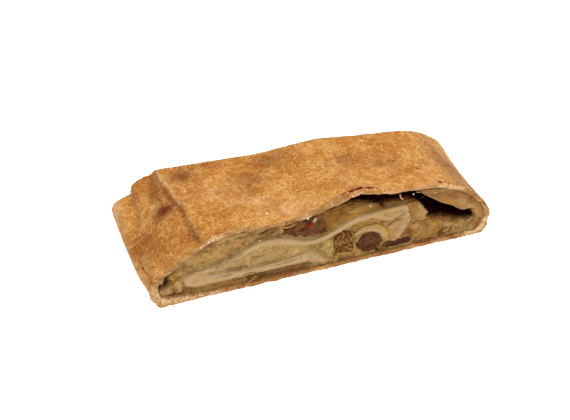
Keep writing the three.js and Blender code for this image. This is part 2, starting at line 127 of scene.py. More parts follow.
# %% [markdown]
# ## Helpers for node trees
#
# A material or a Geometry Nodes tree is a list of nodes and the wires between them. Writing each
# wire by hand takes many lines, so one small class adds a node and joins it in the same call. It
# works for both kinds of tree, because the noise, cell, mix and maths nodes are the same in both.

# %% Node helpers
NODE_SPACING = 200


class Wires:
    """Adds nodes to one tree, and joins each to what it is given."""

    def __init__(self, tree):
        self.tree = tree

    def add(self, kind, inputs=(), **settings):
        """A new node of this kind, with its settings made and its inputs joined."""
        made = self.tree.nodes.new(kind)
        made.location = (NODE_SPACING * len(self.tree.nodes), 0)
        for name, value in settings.items():
            setattr(made, name, value)
        for key, value in dict(inputs).items():
            self.join(value, made.inputs[key])
        return made

    def join(self, value, socket):
        """Wires another node's output to this socket, or sets the socket to a plain value."""
        if isinstance(value, bpy.types.NodeSocket):
            self.tree.links.new(value, socket)
        else:
            socket.default_value = value

    def math(self, operation, a, b=0.0):
        """One sum with numbers, such as SUBTRACT or ABSOLUTE."""
        return self.add("ShaderNodeMath", {0: a, 1: b}, operation=operation).outputs[0]

    def total(self, *values):
        """The sum of several numbers."""
        result = values[0]
        for value in values[1:]:
            result = self.math("ADD", result, value)
        return result

    def times(self, a, b):
        """The product of two numbers."""
        return self.math("MULTIPLY", a, b)

    def vector(self, operation, a, b):
        """One sum with places or directions, part by part."""
        return self.add("ShaderNodeVectorMath", {0: a, 1: b}, operation=operation).outputs[0]

    def scaled(self, a, factor):
        """A place or a direction made factor times as long."""
        return self.add("ShaderNodeVectorMath", {0: a, "Scale": factor}, operation="SCALE").outputs[0]

    def noise(self, place, size, detail=3.0, roughness=0.5, distortion=0.0):
        """A noise node whose blobs are about size across."""
        settings = {"Vector": place, "Scale": self.math("DIVIDE", 1.0, size), "Detail": detail}
        return self.add("ShaderNodeTexNoise", {**settings, "Roughness": roughness, "Distortion": distortion})

    def cells(self, place, size, feature="F1"):
        """A cell pattern whose cells are about size across."""
        settings = {"Vector": place, "Scale": self.math("DIVIDE", 1.0, size)}
        return self.add("ShaderNodeTexVoronoi", settings, feature=feature)

    def ramp(self, value, low, high, to_low=0.0, to_high=1.0):
        """Turns low..high into to_low..to_high, with soft ends."""
        ends = {"Value": value, "From Min": low, "From Max": high, "To Min": to_low, "To Max": to_high}
        return self.add("ShaderNodeMapRange", ends, interpolation_type="SMOOTHSTEP").outputs[0]

    def ridge(self, value, width):
        """1 along the thin lines where a noise crosses its middle."""
        return self.ramp(self.math("ABSOLUTE", self.math("SUBTRACT", value, 0.5)), width, 0.0)

    def mix(self, share, a, b):
        """Colour a, going over to colour b as share rises."""
        made = self.add("ShaderNodeMix", {0: share, 6: a, 7: b}, data_type="RGBA")
        return made.outputs[2]


print("node helpers:", [name for name in vars(Wires) if not name.startswith("_")])

# %% Groups and colours
FLOAT, VECTOR, COLOUR = "NodeSocketFloat", "NodeSocketVector", "NodeSocketColor"
GEOMETRY, MATERIAL = "NodeSocketGeometry", "NodeSocketMaterial"


def group(name, kind, inputs, outputs):
    """A new node group: its wires, its input sockets and a dictionary of its output sockets."""
    tree = bpy.data.node_groups.new(name, kind)
    for label, socket_type, start in inputs:
        socket = tree.interface.new_socket(label, in_out="INPUT", socket_type=socket_type)
        if start is not None:
            socket.default_value = start
    for label, socket_type in outputs:
        tree.interface.new_socket(label, in_out="OUTPUT", socket_type=socket_type)
    wires = Wires(tree)
    return wires, wires.add("NodeGroupInput").outputs, wires.add("NodeGroupOutput").inputs


def colour(red, green, blue):
    """A colour as 0..255 screen values, turned into the linear light that shaders use."""
    channels = [c / 255 for c in (red, green, blue)]
    linear = [c / 12.92 if c <= 0.04045 else ((c + 0.055) / 1.055) ** 2.4 for c in channels]
    return (*linear, 1.0)


print("colour(255, 255, 255) is", colour(255, 255, 255))

# %% [markdown]
# ## The floor
#
# The table top is one large flat square, so that its far edge lies well beyond every view. A white
# table needs more light than a brown strudel does. More light would bleach the crust, so the table's
# material gives off a little light of its own instead. A shader's plain values are set on its own
# sockets, with no nodes before them.

# %% The table top
FLOOR_SIDE = 12.0
FLOOR_CORNERS = [(-1, -1), (1, -1), (1, 1), (-1, 1)]
FLOOR_GREY = (0.7, 0.7, 0.7, 1.0)
FLOOR_ROUGHNESS = 0.9
FLOOR_GLOW = 0.82


def new_material(name):
    """An empty material: the material, its wires and the sockets of its Principled shader."""
    material = bpy.data.materials.new(name)
    material.use_nodes = True
    return material, Wires(material.node_tree), material.node_tree.nodes["Principled BSDF"].inputs


def set_plain(shader, values):
    """Sets sockets of the shader to values that are the same all over the surface."""
    for name, value in values.items():
        shader[name].default_value = value


table_white, _, white_shader = new_material("table_white")
set_plain(white_shader, {"Base Color": FLOOR_GREY, "Roughness": FLOOR_ROUGHNESS})
set_plain(white_shader, {"Emission Color": WHITE, "Emission Strength": FLOOR_GLOW})
corners = [(x * FLOOR_SIDE / 2, y * FLOOR_SIDE / 2, 0) for x, y in FLOOR_CORNERS]
floor_mesh = bpy.data.meshes.new("table_top")
floor_mesh.from_pydata(corners, [], [(0, 1, 2, 3)])
floor_mesh.materials.append(table_white)
table_top = bpy.data.objects.new("table_top", floor_mesh)
scene.collection.objects.link(table_top)
print("floor", FLOOR_SIDE, "m square")

# %% [markdown]
# ## Helpers for soft pieces
#
# A soft piece could be sculpted anew, but then it might not fit its neighbours. Here it is a copy of
# the measured solid, rebuilt by a Remesh modifier as a fine even net. An even net takes relief well,
# because no place has too few points. The modifiers are turned into a plain mesh at once.

# %% Fine copies
SAME_POINT = 0.01


def linked(name, mesh):
    """A new object with this mesh, put in the scene."""
    piece = bpy.data.objects.new(name, mesh)
    scene.collection.objects.link(piece)
    return piece


def settled(piece):
    """Turns the piece's modifiers into a plain mesh and removes them."""
    graph = bpy.context.evaluated_depsgraph_get()
    done = piece.evaluated_get(graph)
    mesh = bpy.data.meshes.new_from_object(done, preserve_all_data_layers=True, depsgraph=graph)
    piece.modifiers.clear()
    piece.data = mesh
    return piece


def fine_net(piece, side, relax):
    """Rebuilds the piece as an even net with squares of about side mm, and relaxes it."""
    net = piece.modifiers.new("net", "REMESH")
    net.mode = "VOXEL"
    net.voxel_size = side * MM
    net.use_smooth_shade = True
    piece.modifiers.new("easing", "SMOOTH").iterations = relax
    return settled(piece)


def soft_copy(node, name, side, relax=2):
    """A fine copy of a measured solid, with net squares of about side mm."""
    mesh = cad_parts[node].data.copy()
    mesh.materials.clear()
    whole = bmesh.new()
    whole.from_mesh(mesh)
    bmesh.ops.remove_doubles(whole, verts=whole.verts, dist=SAME_POINT * MM)
    whole.to_mesh(mesh)
    whole.free()
    return fine_net(linked(name, mesh), side, relax)


print("measured solids:", len(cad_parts))

# %% [markdown]
# A mesh can carry a named number for each of its points, called an attribute. That is the simplest
# way to tell a material or a Geometry Nodes tree what lies where. The numbers are worked out for all
# points at once, and then painted on the piece.

# %% Points and painted numbers


def spots(piece):
    """The piece's points, in mm, and the directions its surface faces there."""
    count = len(piece.data.vertices)
    places = np.empty(count * 3, np.float32)
    facing = np.empty(count * 3, np.float32)
    piece.data.vertices.foreach_get("co", places)
    piece.data.vertex_normals.foreach_get("vector", facing)
    return places.reshape(-1, 3) / MM, facing.reshape(-1, 3)


def paint(piece, name, values):
    """Stores one number for each point of the piece, for its material or its relief to read."""
    layer = piece.data.attributes.get(name) or piece.data.attributes.new(name, "FLOAT", "POINT")
    layer.data.foreach_set("value", np.asarray(values, np.float32))


def moved_to(piece, points):
    """Puts the piece's points, in mm, in new places."""
    piece.data.vertices.foreach_set("co", (points * MM).ravel())
    piece.data.update()


print("corners of the crust's solid:", len(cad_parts["crust"].data.vertices))

# %% Soft steps and finished trees


def step(value, low, high):
    """0 below low, 1 above high, soft between them. With low above high it falls instead."""
    share = np.clip((value - low) / (high - low), 0, 1)
    return share * share * (3 - 2 * share)


def spoken(socket):
    """A socket's name as a call can say it: in small letters, with no spaces."""
    return socket.name.lower().replace(" ", "_")


def shaped(piece, tree, **settings):
    """Runs a Geometry Nodes tree on the piece. Settings are its input names in small letters."""
    modifier = piece.modifiers.new(tree.name, "NODES")
    modifier.node_group = tree
    for item in tree.interface.items_tree:
        key = spoken(item)
        if item.in_out == "INPUT" and key in settings:
            modifier[item.identifier] = settings.pop(key)
    assert not settings, settings
    return settled(piece)


print("a soft step from 0 to 4 is, at 1,", round(step(1.0, 0, 4), 3))

# %% The two cuts
HALF_WIDTH = CAD_BOX[1].x / MM
NEAR_CUT = CAD_BOX[0].y / MM
DEPTH_LEFT = 50.0
DEPTH_RIGHT = 40.0


def from_cut(points):
    """The distance of each point to the nearer of the two cuts, in mm."""
    near = points[:, 1] - NEAR_CUT
    depth = DEPTH_LEFT + (DEPTH_RIGHT - DEPTH_LEFT) * (points[:, 0] + HALF_WIDTH) / (2 * HALF_WIDTH)
    return np.maximum(np.minimum(near, depth - near), 0)


print("the near cut is at y =", round(NEAR_CUT, 2), "mm")

# %% Soft marks
STROKE_DEPTH = (4.0, 2.5)
FAR_AWAY = 1e9


def blots(points, marks):
    """How strongly soft oval marks cover each point. A mark is its centre, its reaches and its strength."""
    cover = np.zeros(len(points))
    for centre, reach, strength in marks:
        away = (points - np.array(centre)) / np.array(reach)
        cover = np.maximum(cover, strength * np.exp(-(away**2).sum(1)))
    return cover


def from_line(across, along, route):
    """The distance of flat points to a line through the points of route."""
    nearest = np.full(len(across), FAR_AWAY)
    for (a0, b0), (a1, b1) in zip(route, route[1:]):
        run = (a1 - a0) ** 2 + (b1 - b0) ** 2
        share = np.clip(((across - a0) * (a1 - a0) + (along - b0) * (b1 - b0)) / run, 0, 1)
        gap = np.hypot(across - a0 - share * (a1 - a0), along - b0 - share * (b1 - b0))
        nearest = np.minimum(nearest, gap)
    return nearest


def fading(gap, width):
    """1 on a line, falling softly to 0 over about twice its width in mm."""
    return np.exp(-((gap / width) ** 2))


def strokes(points, marks):
    """How strongly brush strokes on the near cut face cover each point.

    A stroke is its width in mm, its strength and its route of (x, z) places.
    """
    cover = np.zeros(len(points))
    for width, strength, route in marks:
        gap = from_line(points[:, 0], points[:, 2], route)
        cover = np.maximum(cover, strength * fading(gap, width))
    return cover * step(points[:, 1] - NEAR_CUT, *STROKE_DEPTH)


print("one width away from its line, a stroke has this share left:", round(float(fading(1, 1)), 3))

# %% [markdown]
# The net rounds off the sharp rim that the knife left. To bring it forward again, each point near a
# cut looks for the nearest point of the flat cut face and moves out to that one's level. Comparing
# every point with every other would be slow, so the face's points go into a search tree first.

# %% Search trees


def flattened(points):
    """Points pressed flat along the loaf's length, as a list of (x, 0, z)."""
    return [(x, 0, z) for x, _, z in points.tolist()]


def search_tree(places):
    """A tree that quickly finds the nearest of a list of places."""
    tree = KDTree(len(places))
    for index, place in enumerate(places):
        tree.insert(place, index)
    tree.balance()
    return tree


three_places = search_tree([(0, 0, 0), (3, 0, 0), (9, 0, 0)])
print("the place nearest to (4, 0, 0) is", tuple(three_places.find((4, 0, 0))[0]))

# %% Square rims
FACES_SQUARELY = 0.97
RIM_REACH = 3.0
FEWEST_POINTS = 20
ROUNDED_BY = (1.8, 0.9)


def squared(piece, kept):
    """Brings the rounded rim of each cut face forward again. A share, kept, of its rounding stays."""
    points, facing = spots(piece)
    for side in (-1, 1):
        front = (facing[:, 1] * side > FACES_SQUARELY) & (from_cut(points) < RIM_REACH)
        if front.sum() < FEWEST_POINTS:
            continue
        fronts = points[front][:, 1]
        face = search_tree(flattened(points[front]))
        for index in np.nonzero(from_cut(points) < RIM_REACH)[0].tolist():
            x, y, z = points[index].tolist()
            behind = (fronts[face.find((x, 0, z))[1]] - y) * side
            points[index, 1] += side * (1 - kept) * behind * step(behind, *ROUNDED_BY)
    moved_to(piece, points)


print("rims are squared up to", RIM_REACH, "mm behind each cut")

# %% [markdown]
# ## Shared surface effects
#
# Baked dough and stewed fruit are never one flat colour. Their colour wanders on three scales at
# once: patches, blotches and grain. Several materials need that, so it is one node group, "Mottle",
# built once and given other colours in each material. A second group, "Pores", makes the small dark
# pits of a baked or cut surface. A third, "Shreds", gives grated apple its pale pieces and the brown
# seams between them.

# %% The mottle group
BLOTCH_SHARE = 0.23
GRAIN_SHARE = 0.05
MOTTLE_WEIGHTS = (0.45, 0.35, 0.2)
MOTTLE_SPREAD = 0.16
wires, given, result = group(
    "Mottle",
    "ShaderNodeTree",
    [
        ("Place", VECTOR, None),
        ("Patch Size", FLOAT, 12.0),
        ("Light", COLOUR, (1, 1, 1, 1)),
        ("Dark", COLOUR, (0, 0, 0, 1)),
        ("Contrast", FLOAT, 1.0),
    ],
    [("Colour", COLOUR), ("Height", FLOAT)],
)
patches = wires.noise(given["Place"], given["Patch Size"], 2.0, 0.6, 0.4).outputs[0]
blotch = wires.times(given["Patch Size"], BLOTCH_SHARE)
blotches = wires.noise(given["Place"], blotch, 3.0, 0.6, 0.6).outputs[0]
fine = wires.times(given["Patch Size"], GRAIN_SHARE)
grain = wires.noise(given["Place"], fine, 2.0, 0.7).outputs[0]
weighted = [wires.times(*pair) for pair in zip((patches, blotches, grain), MOTTLE_WEIGHTS)]
blend = wires.total(*weighted)
centred = wires.times(wires.math("SUBTRACT", blend, 0.5), given["Contrast"])
share = wires.ramp(centred, -MOTTLE_SPREAD, MOTTLE_SPREAD)
wires.join(wires.mix(share, given["Dark"], given["Light"]), result["Colour"])
wires.join(blend, result["Height"])
MOTTLE = wires.tree
print(MOTTLE.name, "has", len(MOTTLE.nodes), "nodes")

# %% The pores group
PIT_EDGE = (0.34, 0.12)
wires, given, result = group(
    "Pores",
    "ShaderNodeTree",
    [("Place", VECTOR, None), ("Size", FLOAT, 1.5), ("Share", FLOAT, 0.3)],
    [("Mask", FLOAT)],
)
wander = wires.noise(given["Place"], given["Size"], 1.0).outputs[1]
moved = wires.vector("ADD", given["Place"], wires.scaled(wander, given["Size"]))
pits = wires.cells(moved, given["Size"])
chance = wires.add("ShaderNodeSeparateColor", {0: pits.outputs["Color"]}).outputs[0]
chosen = wires.math("LESS_THAN", chance, given["Share"])
round_pit = wires.ramp(pits.outputs["Distance"], *PIT_EDGE)
wires.join(wires.times(chosen, round_pit), result["Mask"])
PORES = wires.tree
print(PORES.name, "has", len(PORES.nodes), "nodes")

# %% The shreds group
SEAM_EDGE = (0.13, 0.0)
BEND_WIDER, BEND_REACH = 1.5, 1.6
OPEN_WIDER = 2.6
OPEN_FROM = (0.45, 0.62)
wires, given, result = group(
    "Shreds",
    "ShaderNodeTree",
    [("Place", VECTOR, None), ("Size", FLOAT, 1.4)],
    [("Paleness", FLOAT), ("Seam", FLOAT)],
)
bend = wires.noise(given["Place"], wires.times(given["Size"], BEND_WIDER), 2.0).outputs[1]
bent = wires.vector("ADD", given["Place"], wires.scaled(bend, wires.times(given["Size"], BEND_REACH)))
shred = wires.cells(bent, given["Size"])
paleness = wires.add("ShaderNodeSeparateColor", {0: shred.outputs["Color"]}).outputs[1]
border = wires.cells(bent, given["Size"], "DISTANCE_TO_EDGE").outputs[0]
wide = wires.noise(given["Place"], wires.times(given["Size"], OPEN_WIDER), 1.0).outputs[0]
open_seams = wires.ramp(wide, *OPEN_FROM)
wires.join(paleness, result["Paleness"])
wires.join(wires.times(wires.ramp(border, *SEAM_EDGE), open_seams), result["Seam"])
SHREDS = wires.tree
print(SHREDS.name, "has", len(SHREDS.nodes), "nodes")

# %% Helpers for materials


def use_group(wires, tree, **inputs):
    """Places a group in a material. Inputs are its names in small letters."""
    made = wires.add("ShaderNodeGroup", node_tree=tree)
    for socket in made.inputs:
        if spoken(socket) in inputs:
            wires.join(inputs.pop(spoken(socket)), socket)
    assert not inputs, inputs
    return made.outputs


def mottled(wires, place, size, light, dark, contrast):
    """Places the Mottle group, with patches about size mm wide."""
    return use_group(wires, MOTTLE, place=place, patch_size=size, light=light, dark=dark, contrast=contrast)


def places_in_mm(wires):
    """Object coordinates in mm, so that every size in a material is a real one."""
    return wires.scaled(wires.add("ShaderNodeTexCoord").outputs["Object"], 1 / MM)


def painted(wires, name):
    """Reads what paint() stored."""
    return wires.add("ShaderNodeAttribute", attribute_name=name).outputs["Fac"]


def bump(wires, height, distance, strength=1.0):
    """A Bump node whose height goes from 0 to distance mm."""
    depth = {"Height": height, "Distance": distance * MM, "Strength": strength}
    return wires.add("ShaderNodeBump", depth).outputs[0]


def glow(shader, weight, reach, tint):
    """Lets light go reach mm into a soft material."""
    values = {"Subsurface Weight": weight, "Subsurface Radius": tint, "Subsurface Scale": reach * MM}
    set_plain(shader, values)


print("groups for all materials:", [tree.name for tree in (MOTTLE, PORES, SHREDS)])

# %% [markdown]
# ## The baked crust
#
# On the real strudel this is one sheet of pastry round the filling. It is brown and dry outside, with
# a fine net of pale stretch lines, a few blisters and a dusting of flour, and it is torn and flaky
# where the knife went through. The copy of the solid is divided finely, and numbers are painted on it
# first: which points are outside, how far each is from a cut, where scorch browns it and painted shade
# darkens its crease, and where it has flour and a painted highlight along its ridges.

# %% A fine copy of the crust
CRUST_NET = 0.58
crust = soft_copy("crust", "baked_crust", CRUST_NET, relax=1)
points, facing = spots(crust)
print("crust points:", len(points))

# %% Which points are outside
LIFT_OFF = 0.4 * MM
NO_LENGTH = 1e-3
cad_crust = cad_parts["crust"].data
corners = [v.co.copy() for v in cad_crust.vertices]
solid_crust = BVHTree.FromPolygons(corners, [tuple(p.vertices) for p in cad_crust.polygons])


def looks_out(point, normal):
    """True if nothing of the crust lies in front of this point, looking square to the loaf's length."""
    ahead = Vector((normal[0], 0.0, normal[2]))
    if ahead.length < NO_LENGTH:
        return True
    ahead.normalize()
    return solid_crust.ray_cast(Vector(point) * MM + ahead * LIFT_OFF, ahead)[0] is None


outside = np.array([looks_out(p, n) for p, n in zip(points.tolist(), facing.tolist())], float)
cut_distance = from_cut(points)
print("outside:", round(outside.mean(), 3))

# %% [markdown]
# A Smooth modifier eases away the marks of the net, but it would also blur the cut edge. A vertex
# group tells it how strongly to work on each point, so only the browned outside is eased.

# %% Ease the outside
SKIN_EASING = 10
EASED_FROM = (0.8, 3.0)
EASE_LEVELS = (0.25, 0.5, 0.75, 1.0)
HALF_LEVEL = 0.126
CRUST_ROUNDING = 0.3
crust.vertex_groups.new(name="eased")
eased = outside * step(cut_distance, *EASED_FROM)
for amount in EASE_LEVELS:
    chosen = np.nonzero(np.abs(eased - amount) < HALF_LEVEL)[0]
    crust.vertex_groups["eased"].add(chosen.tolist(), amount, "REPLACE")
easing = crust.modifiers.new("easing", "SMOOTH")
easing.iterations = SKIN_EASING
easing.vertex_group = "eased"
settled(crust)
squared(crust, CRUST_ROUNDING)
print("fully eased points:", int((eased > 1 - HALF_LEVEL).sum()))

# %% [markdown]
# Three places of the near cut aren't plain: the baked base pushes out as a lip, the left end has a
# small shelf, and the browned skin is torn away behind the cut. A pair of numbers gives the place
# where each starts and where it is at its full strength, in mm. FACES_UP is such a pair too, but of
# how much a point's direction leans up.

# %% The bottom lip, the shelf and the frayed edge
LIP_REACH = 1.05
LIP_DEPTH = (5.0, 0.8)
LIP_HEIGHT = (4.5, 0.8)
SHELF_REACH = 0.8
SHELF_ACROSS = (-58, -63)
SHELF_ALONG = (-22, -12)
SHELF_HEIGHT = (0.5, 3)
FRAY_DROP = 0.45
FRAY_FADE = (0, -15)
FRAY_EDGE = 0.8
FRAYED_BY = (0.4, 1.5)
FACES_UP = (0.1, 0.6)
ABOVE_TABLE = 0.1
FRAYED = [
    (-65, 0.2), (-48, 0.3), (-44, 0.9), (-38, 0.8), (-34, 0.3), (-10, 0.3), (-2, 1.3), (3, 2.4), (7, 2.2),
    (9.5, 0.5), (19, 0.3), (26, 0.3), (32, 0.5), (38, 0.7), (43, 1.5), (52, 1.7), (58, 2.0), (63, 1.2),
]


def fray_of(points):
    """How far behind the near cut the browned skin is torn away, in mm."""
    return np.interp(points[:, 0], *zip(*FRAYED)) * step(points[:, 1], *FRAY_FADE)


points, facing = spots(crust)
x, y, z = points.copy().T
from_near = y - NEAR_CUT
lip = step(from_near, *LIP_DEPTH) * step(z, *LIP_HEIGHT)
shelf = step(x, *SHELF_ACROSS) * step(y, *SHELF_ALONG) * step(z, *SHELF_HEIGHT)
fray = fray_of(points)
at_fray = outside * step(from_near, fray + FRAY_EDGE, 0) * step(fray, *FRAYED_BY)
drop = at_fray * step(facing[:, 2], *FACES_UP)
points[:, 0] -= SHELF_REACH * shelf
points[:, 1] -= LIP_REACH * lip
points[:, 2] -= FRAY_DROP * drop
points[:, 2] = np.maximum(points[:, 2], ABOVE_TABLE)
moved_to(crust, points)
points, facing = spots(crust)
x, y, z = points.T
print("frayed up to", max(width for _, width in FRAYED), "mm behind the cut")

# %% [markdown]
# The marks of baking come next, in mm. A line is a route of (x, y) places, seen from above, except for
# the seam on the left end, whose places are (y, z). A soft oval mark is its centre, its reach each way
# and its strength.

# %% Folds
RIDGE = [
    (-47.8, 26), (-47.8, 16.8), (-46.7, 13.7), (-46.3, 8.8), (-45.9, 3.7), (-45.4, 0.4), (-43.7, -1.7),
    (-43.5, -4.5),
]
GROOVE = [
    (-48.9, 26), (-48.5, 15.6), (-48.2, 11.4), (-47.6, 5), (-46.5, 1.6), (-45.8, -0.9), (-46.1, -9.4),
    (-46.1, -14.2), (-45.8, -18.1), (-45.2, -22),
]
SEAM = [(-4, 10.2), (-7.8, 10.0), (-11.4, 9.8), (-15.1, 10.0), (-18.3, 10.2), (-25, 10.3)]
HUMPS = [[(12.4, 2.2), (12.9, -5.3)], [(9.3, -4.6), (11, -13), (11.7, -19.7), (13.7, -23.7)]]
print("folds:", len([RIDGE, GROOVE, SEAM, *HUMPS]))

# %% Scorch, burns and flour
SCORCH = [
    ((-51.0, 1.6, 19), (4.6, 3.8, 8), 1.0),
    ((-53.5, 0.6, 18), (2.6, 3.4, 8), 0.8),
    ((-47.4, 2.4, 20), (2.6, 1.8, 8), 0.8),
    ((-51.4, 11, 19), (2.6, 6, 8), 0.65),
    ((-50.5, 18, 18), (2.0, 8, 8), 0.75),
    ((-45.6, -17, 22), (1.9, 4.5, 8), 0.6),
    ((-59.6, -4, 13), (4, 4, 5), 0.4),
    ((-63.2, -8, 10), (2.5, 6, 4), 0.45),
    ((-62, -14, 10), (3, 9, 5), 0.35),
    ((-40.5, 16, 21), (5.5, 4.5, 8), 0.75),
    ((-30, 20, 21), (10, 2.5, 8), 0.35),
    ((-7, 14.5, 22), (9, 5, 8), 0.5),
    ((-17, 6, 22), (7, 6, 8), 0.45),
    ((-20, -1, 22), (5, 5, 8), 0.35),
    ((18.5, 1, 26), (5, 5, 8), 0.45),
    ((30, -4, 26), (6, 5, 8), 0.35),
    ((12, 20, 22), (14, 2, 8), 0.4),
    ((-58, -12, 14), (4, 7, 6), 0.3),
    ((54, -8, 18), (6, 22, 8), 0.62),
]
BURNT = [
    ((6.6, -22.8, 29), (1.4, 0.9, 4), 0.9),
    ((9.8, -23.3, 31), (1.8, 0.9, 4), 1.0),
    ((12.6, -23.6, 31), (2.4, 0.9, 4), 1.0),
    ((16.4, -23.8, 31), (2.4, 0.8, 4), 1.0),
    ((19.2, -24.1, 30), (1.2, 0.6, 4), 0.9),
    ((44.3, -23.0, 26), (1.1, 0.9, 3), 1.0),
    ((41.6, -23.2, 26), (1.5, 0.5, 3), 0.7),
    ((40, -12.5, 26), (0.6, 0.8, 3), 0.9),
    ((-64.2, -11.4, 9.8), (1.2, 0.9, 0.35), 0.7),
    ((-64.1, -15.1, 10), (1.2, 1.4, 0.35), 0.8),
    ((-64.0, -18.6, 10.2), (1.2, 1.0, 0.4), 0.8),
    ((-64.0, -21.4, 10.2), (1.2, 0.7, 0.4), 0.7),
    ((-58.2, 24.4, 12.4), (1.0, 1.0, 0.6), 1.0),
]
FLOUR = [
    ((-20.4, -8.6, 24), (4.2, 2.8, 6), 0.85),
    ((-27, -8, 24), (3.5, 2.2, 6), 0.5),
    ((-16, -12.5, 24), (2.5, 1.5, 6), 0.5),
    ((-10.5, -18, 25), (4.8, 4.2, 6), 0.9),
    ((-3, -18, 26), (4.5, 2.6, 6), 0.6),
    ((-34, 1, 23), (5, 4.5, 6), 0.4),
    ((-64, 20, 9), (2.4, 4.5, 3), 0.9),
    ((-59.6, -22.4, 13), (2.2, 2.0, 2), 0.7),
]
print("scorch marks:", len(SCORCH), "burnt spots:", len(BURNT), "flour patches:", len(FLOUR))

# %% Strokes on the cut edge of the crust
# Most pale strokes are pale crumb. The ones along the bottom left shelf, in the groove along the left end
# wall and on the lower right corner brighten places that lie in shade: painted light.
PALE_AND_LIT_EDGE = [
    (1.6, 0.8, [(-46, 22.3), (-42, 23.2), (-38.5, 24.2)]),
    (0.9, 0.7, [(-8.5, 24.2), (-5.6, 24.9)]),
    (0.7, 0.8, [(2.4, 27.6), (3.4, 27.4)]),
    (0.7, 0.7, [(5.4, 28.2), (6.2, 28.2)]),
    (0.9, 0.8, [(10, 29.2), (13.5, 29.7)]),
    (1.0, 0.8, [(22, 28.0), (29, 27.7), (36, 27.3), (39, 26.9)]),
    (0.9, 0.8, [(43, 25.6), (48, 23.8), (53, 21.6)]),
    (1.5, 1.0, [(55, 0.8), (59, 1.6), (62, 3.0), (63.5, 5)]),
    (1.2, 0.7, [(-63.8, 9.5), (-63.4, 6), (-62.6, 3.5)]),
    (1.4, 0.95, [(-61, 2.2), (-50, 2.0), (-40, 1.6)]),
    (1.2, 0.8, [(-61.8, 7), (-61.2, 4.2), (-58, 2.8)]),
    (0.6, 0.6, [(8, 2.6), (17, 2.4)]),
]
TOASTED_EDGE = [
    (2.2, 0.75, [(-4, 25.6), (3, 27.6), (8, 29.2)]),
    (1.4, 0.6, [(-60, 11.8), (-53, 16.2), (-49, 18.6)]),
    (1.2, 0.7, [(-20, 23.6), (-14, 23.2)]),
    (1.3, 0.7, [(17, 29.8), (22, 28.2)]),
    (1.3, 0.5, [(56, 18.5), (61, 13)]),
    (0.8, 0.9, [(-60, 0.1), (-28, 0.1)]),
    (1.7, 0.9, [(-28, 0.5), (-25, 0.6), (-8, 0.7)]),
    (1.5, 0.9, [(3, 0.4), (20, 0.4), (31, 0.3)]),
    (0.9, 0.3, [(36, 0.2), (54, 0.2)]),
    (0.8, 0.5, [(8, 1.9), (14, 1.2)]),
    (0.35, 0.8, [(-65, 7), (-64.2, 2.5)]),
    (0.4, 0.7, [(64.6, 5.0), (62.6, 1.8), (59, 0.0)]),
]
CURLED = [(2.2, 1.0, [(9, 30.6), (17, 30.4), (26, 29.0), (36, 28.2), (43, 26.6)])]
FLAKY = [
    (2.2, 1.0, [(-64, 10.5), (-63.5, 6), (-62, 2)]),
    (1.6, 0.8, [(54, 0.6), (61, 2.2), (63.6, 6)]),
    (1.4, 0.6, [(-46, 22.6), (-38, 24.4)]),
]
print("strokes on the edge:", len(PALE_AND_LIT_EDGE + TOASTED_EDGE + CURLED + FLAKY))

# %% How high the folds stand
RIDGE_WIDTH, RIDGE_HEIGHT = 0.6, 0.4
GROOVE_WIDTH, GROOVE_DEPTH = 1.0, 0.3
SEAM_WIDTH, SEAM_DEPTH = 0.5, 0.3
HUMP_WIDTH, HUMP_HEIGHT = 1.2, 0.25
CROWN_FROM = (11, 16)
RIDGE_AT_FRONT = 0.45
RIDGE_RISES = (-8, 2)
SEAM_END = (-60, -62)
on_crown = step(z, *CROWN_FROM) * outside
at_back = RIDGE_AT_FRONT + (1 - RIDGE_AT_FRONT) * step(y, *RIDGE_RISES)
ridge = fading(from_line(x, y, RIDGE), RIDGE_WIDTH) * on_crown * at_back
groove = fading(from_line(x, y, GROOVE), GROOVE_WIDTH) * on_crown
seam = fading(from_line(y, z, SEAM), SEAM_WIDTH) * step(x, *SEAM_END) * outside
humps = sum(fading(from_line(x, y, route), HUMP_WIDTH) for route in HUMPS) * on_crown
print("highest fold:", round(float((RIDGE_HEIGHT * ridge).max()), 2), "mm")

# %% The distance to the browned skin
SKIN_FACING = 0.6
PAST_FRAY = 0.3
EDGE_DEPTH = 1.0


def skin_gap(points, facing, outside, fray):
    """The distance of each point of the cut edge to the browned outside, in mm."""
    on_side = np.abs(facing[:, 1]) < SKIN_FACING
    browned = (outside > 0.5) & on_side & (from_cut(points) > fray + PAST_FRAY)
    skin_points = search_tree(points[browned].tolist())
    near_cut = from_cut(points) < fray + EDGE_DEPTH
    return np.array([skin_points.find(p)[2] if near else 0.0 for p, near in zip(points.tolist(), near_cut)])


fray = fray_of(points)
edge_gap = skin_gap(points, facing, outside, fray)
print("farthest point of a cut edge from the skin:", round(float(edge_gap.max()), 1), "mm")

# %% Painting the crust
FARTHEST = 30
# The groove takes the scorch colour: it is browned, and the same brown is painted shade of the crease.
GROOVE_SCORCH_AND_SHADE, SEAM_SCORCH = 0.55, 0.5
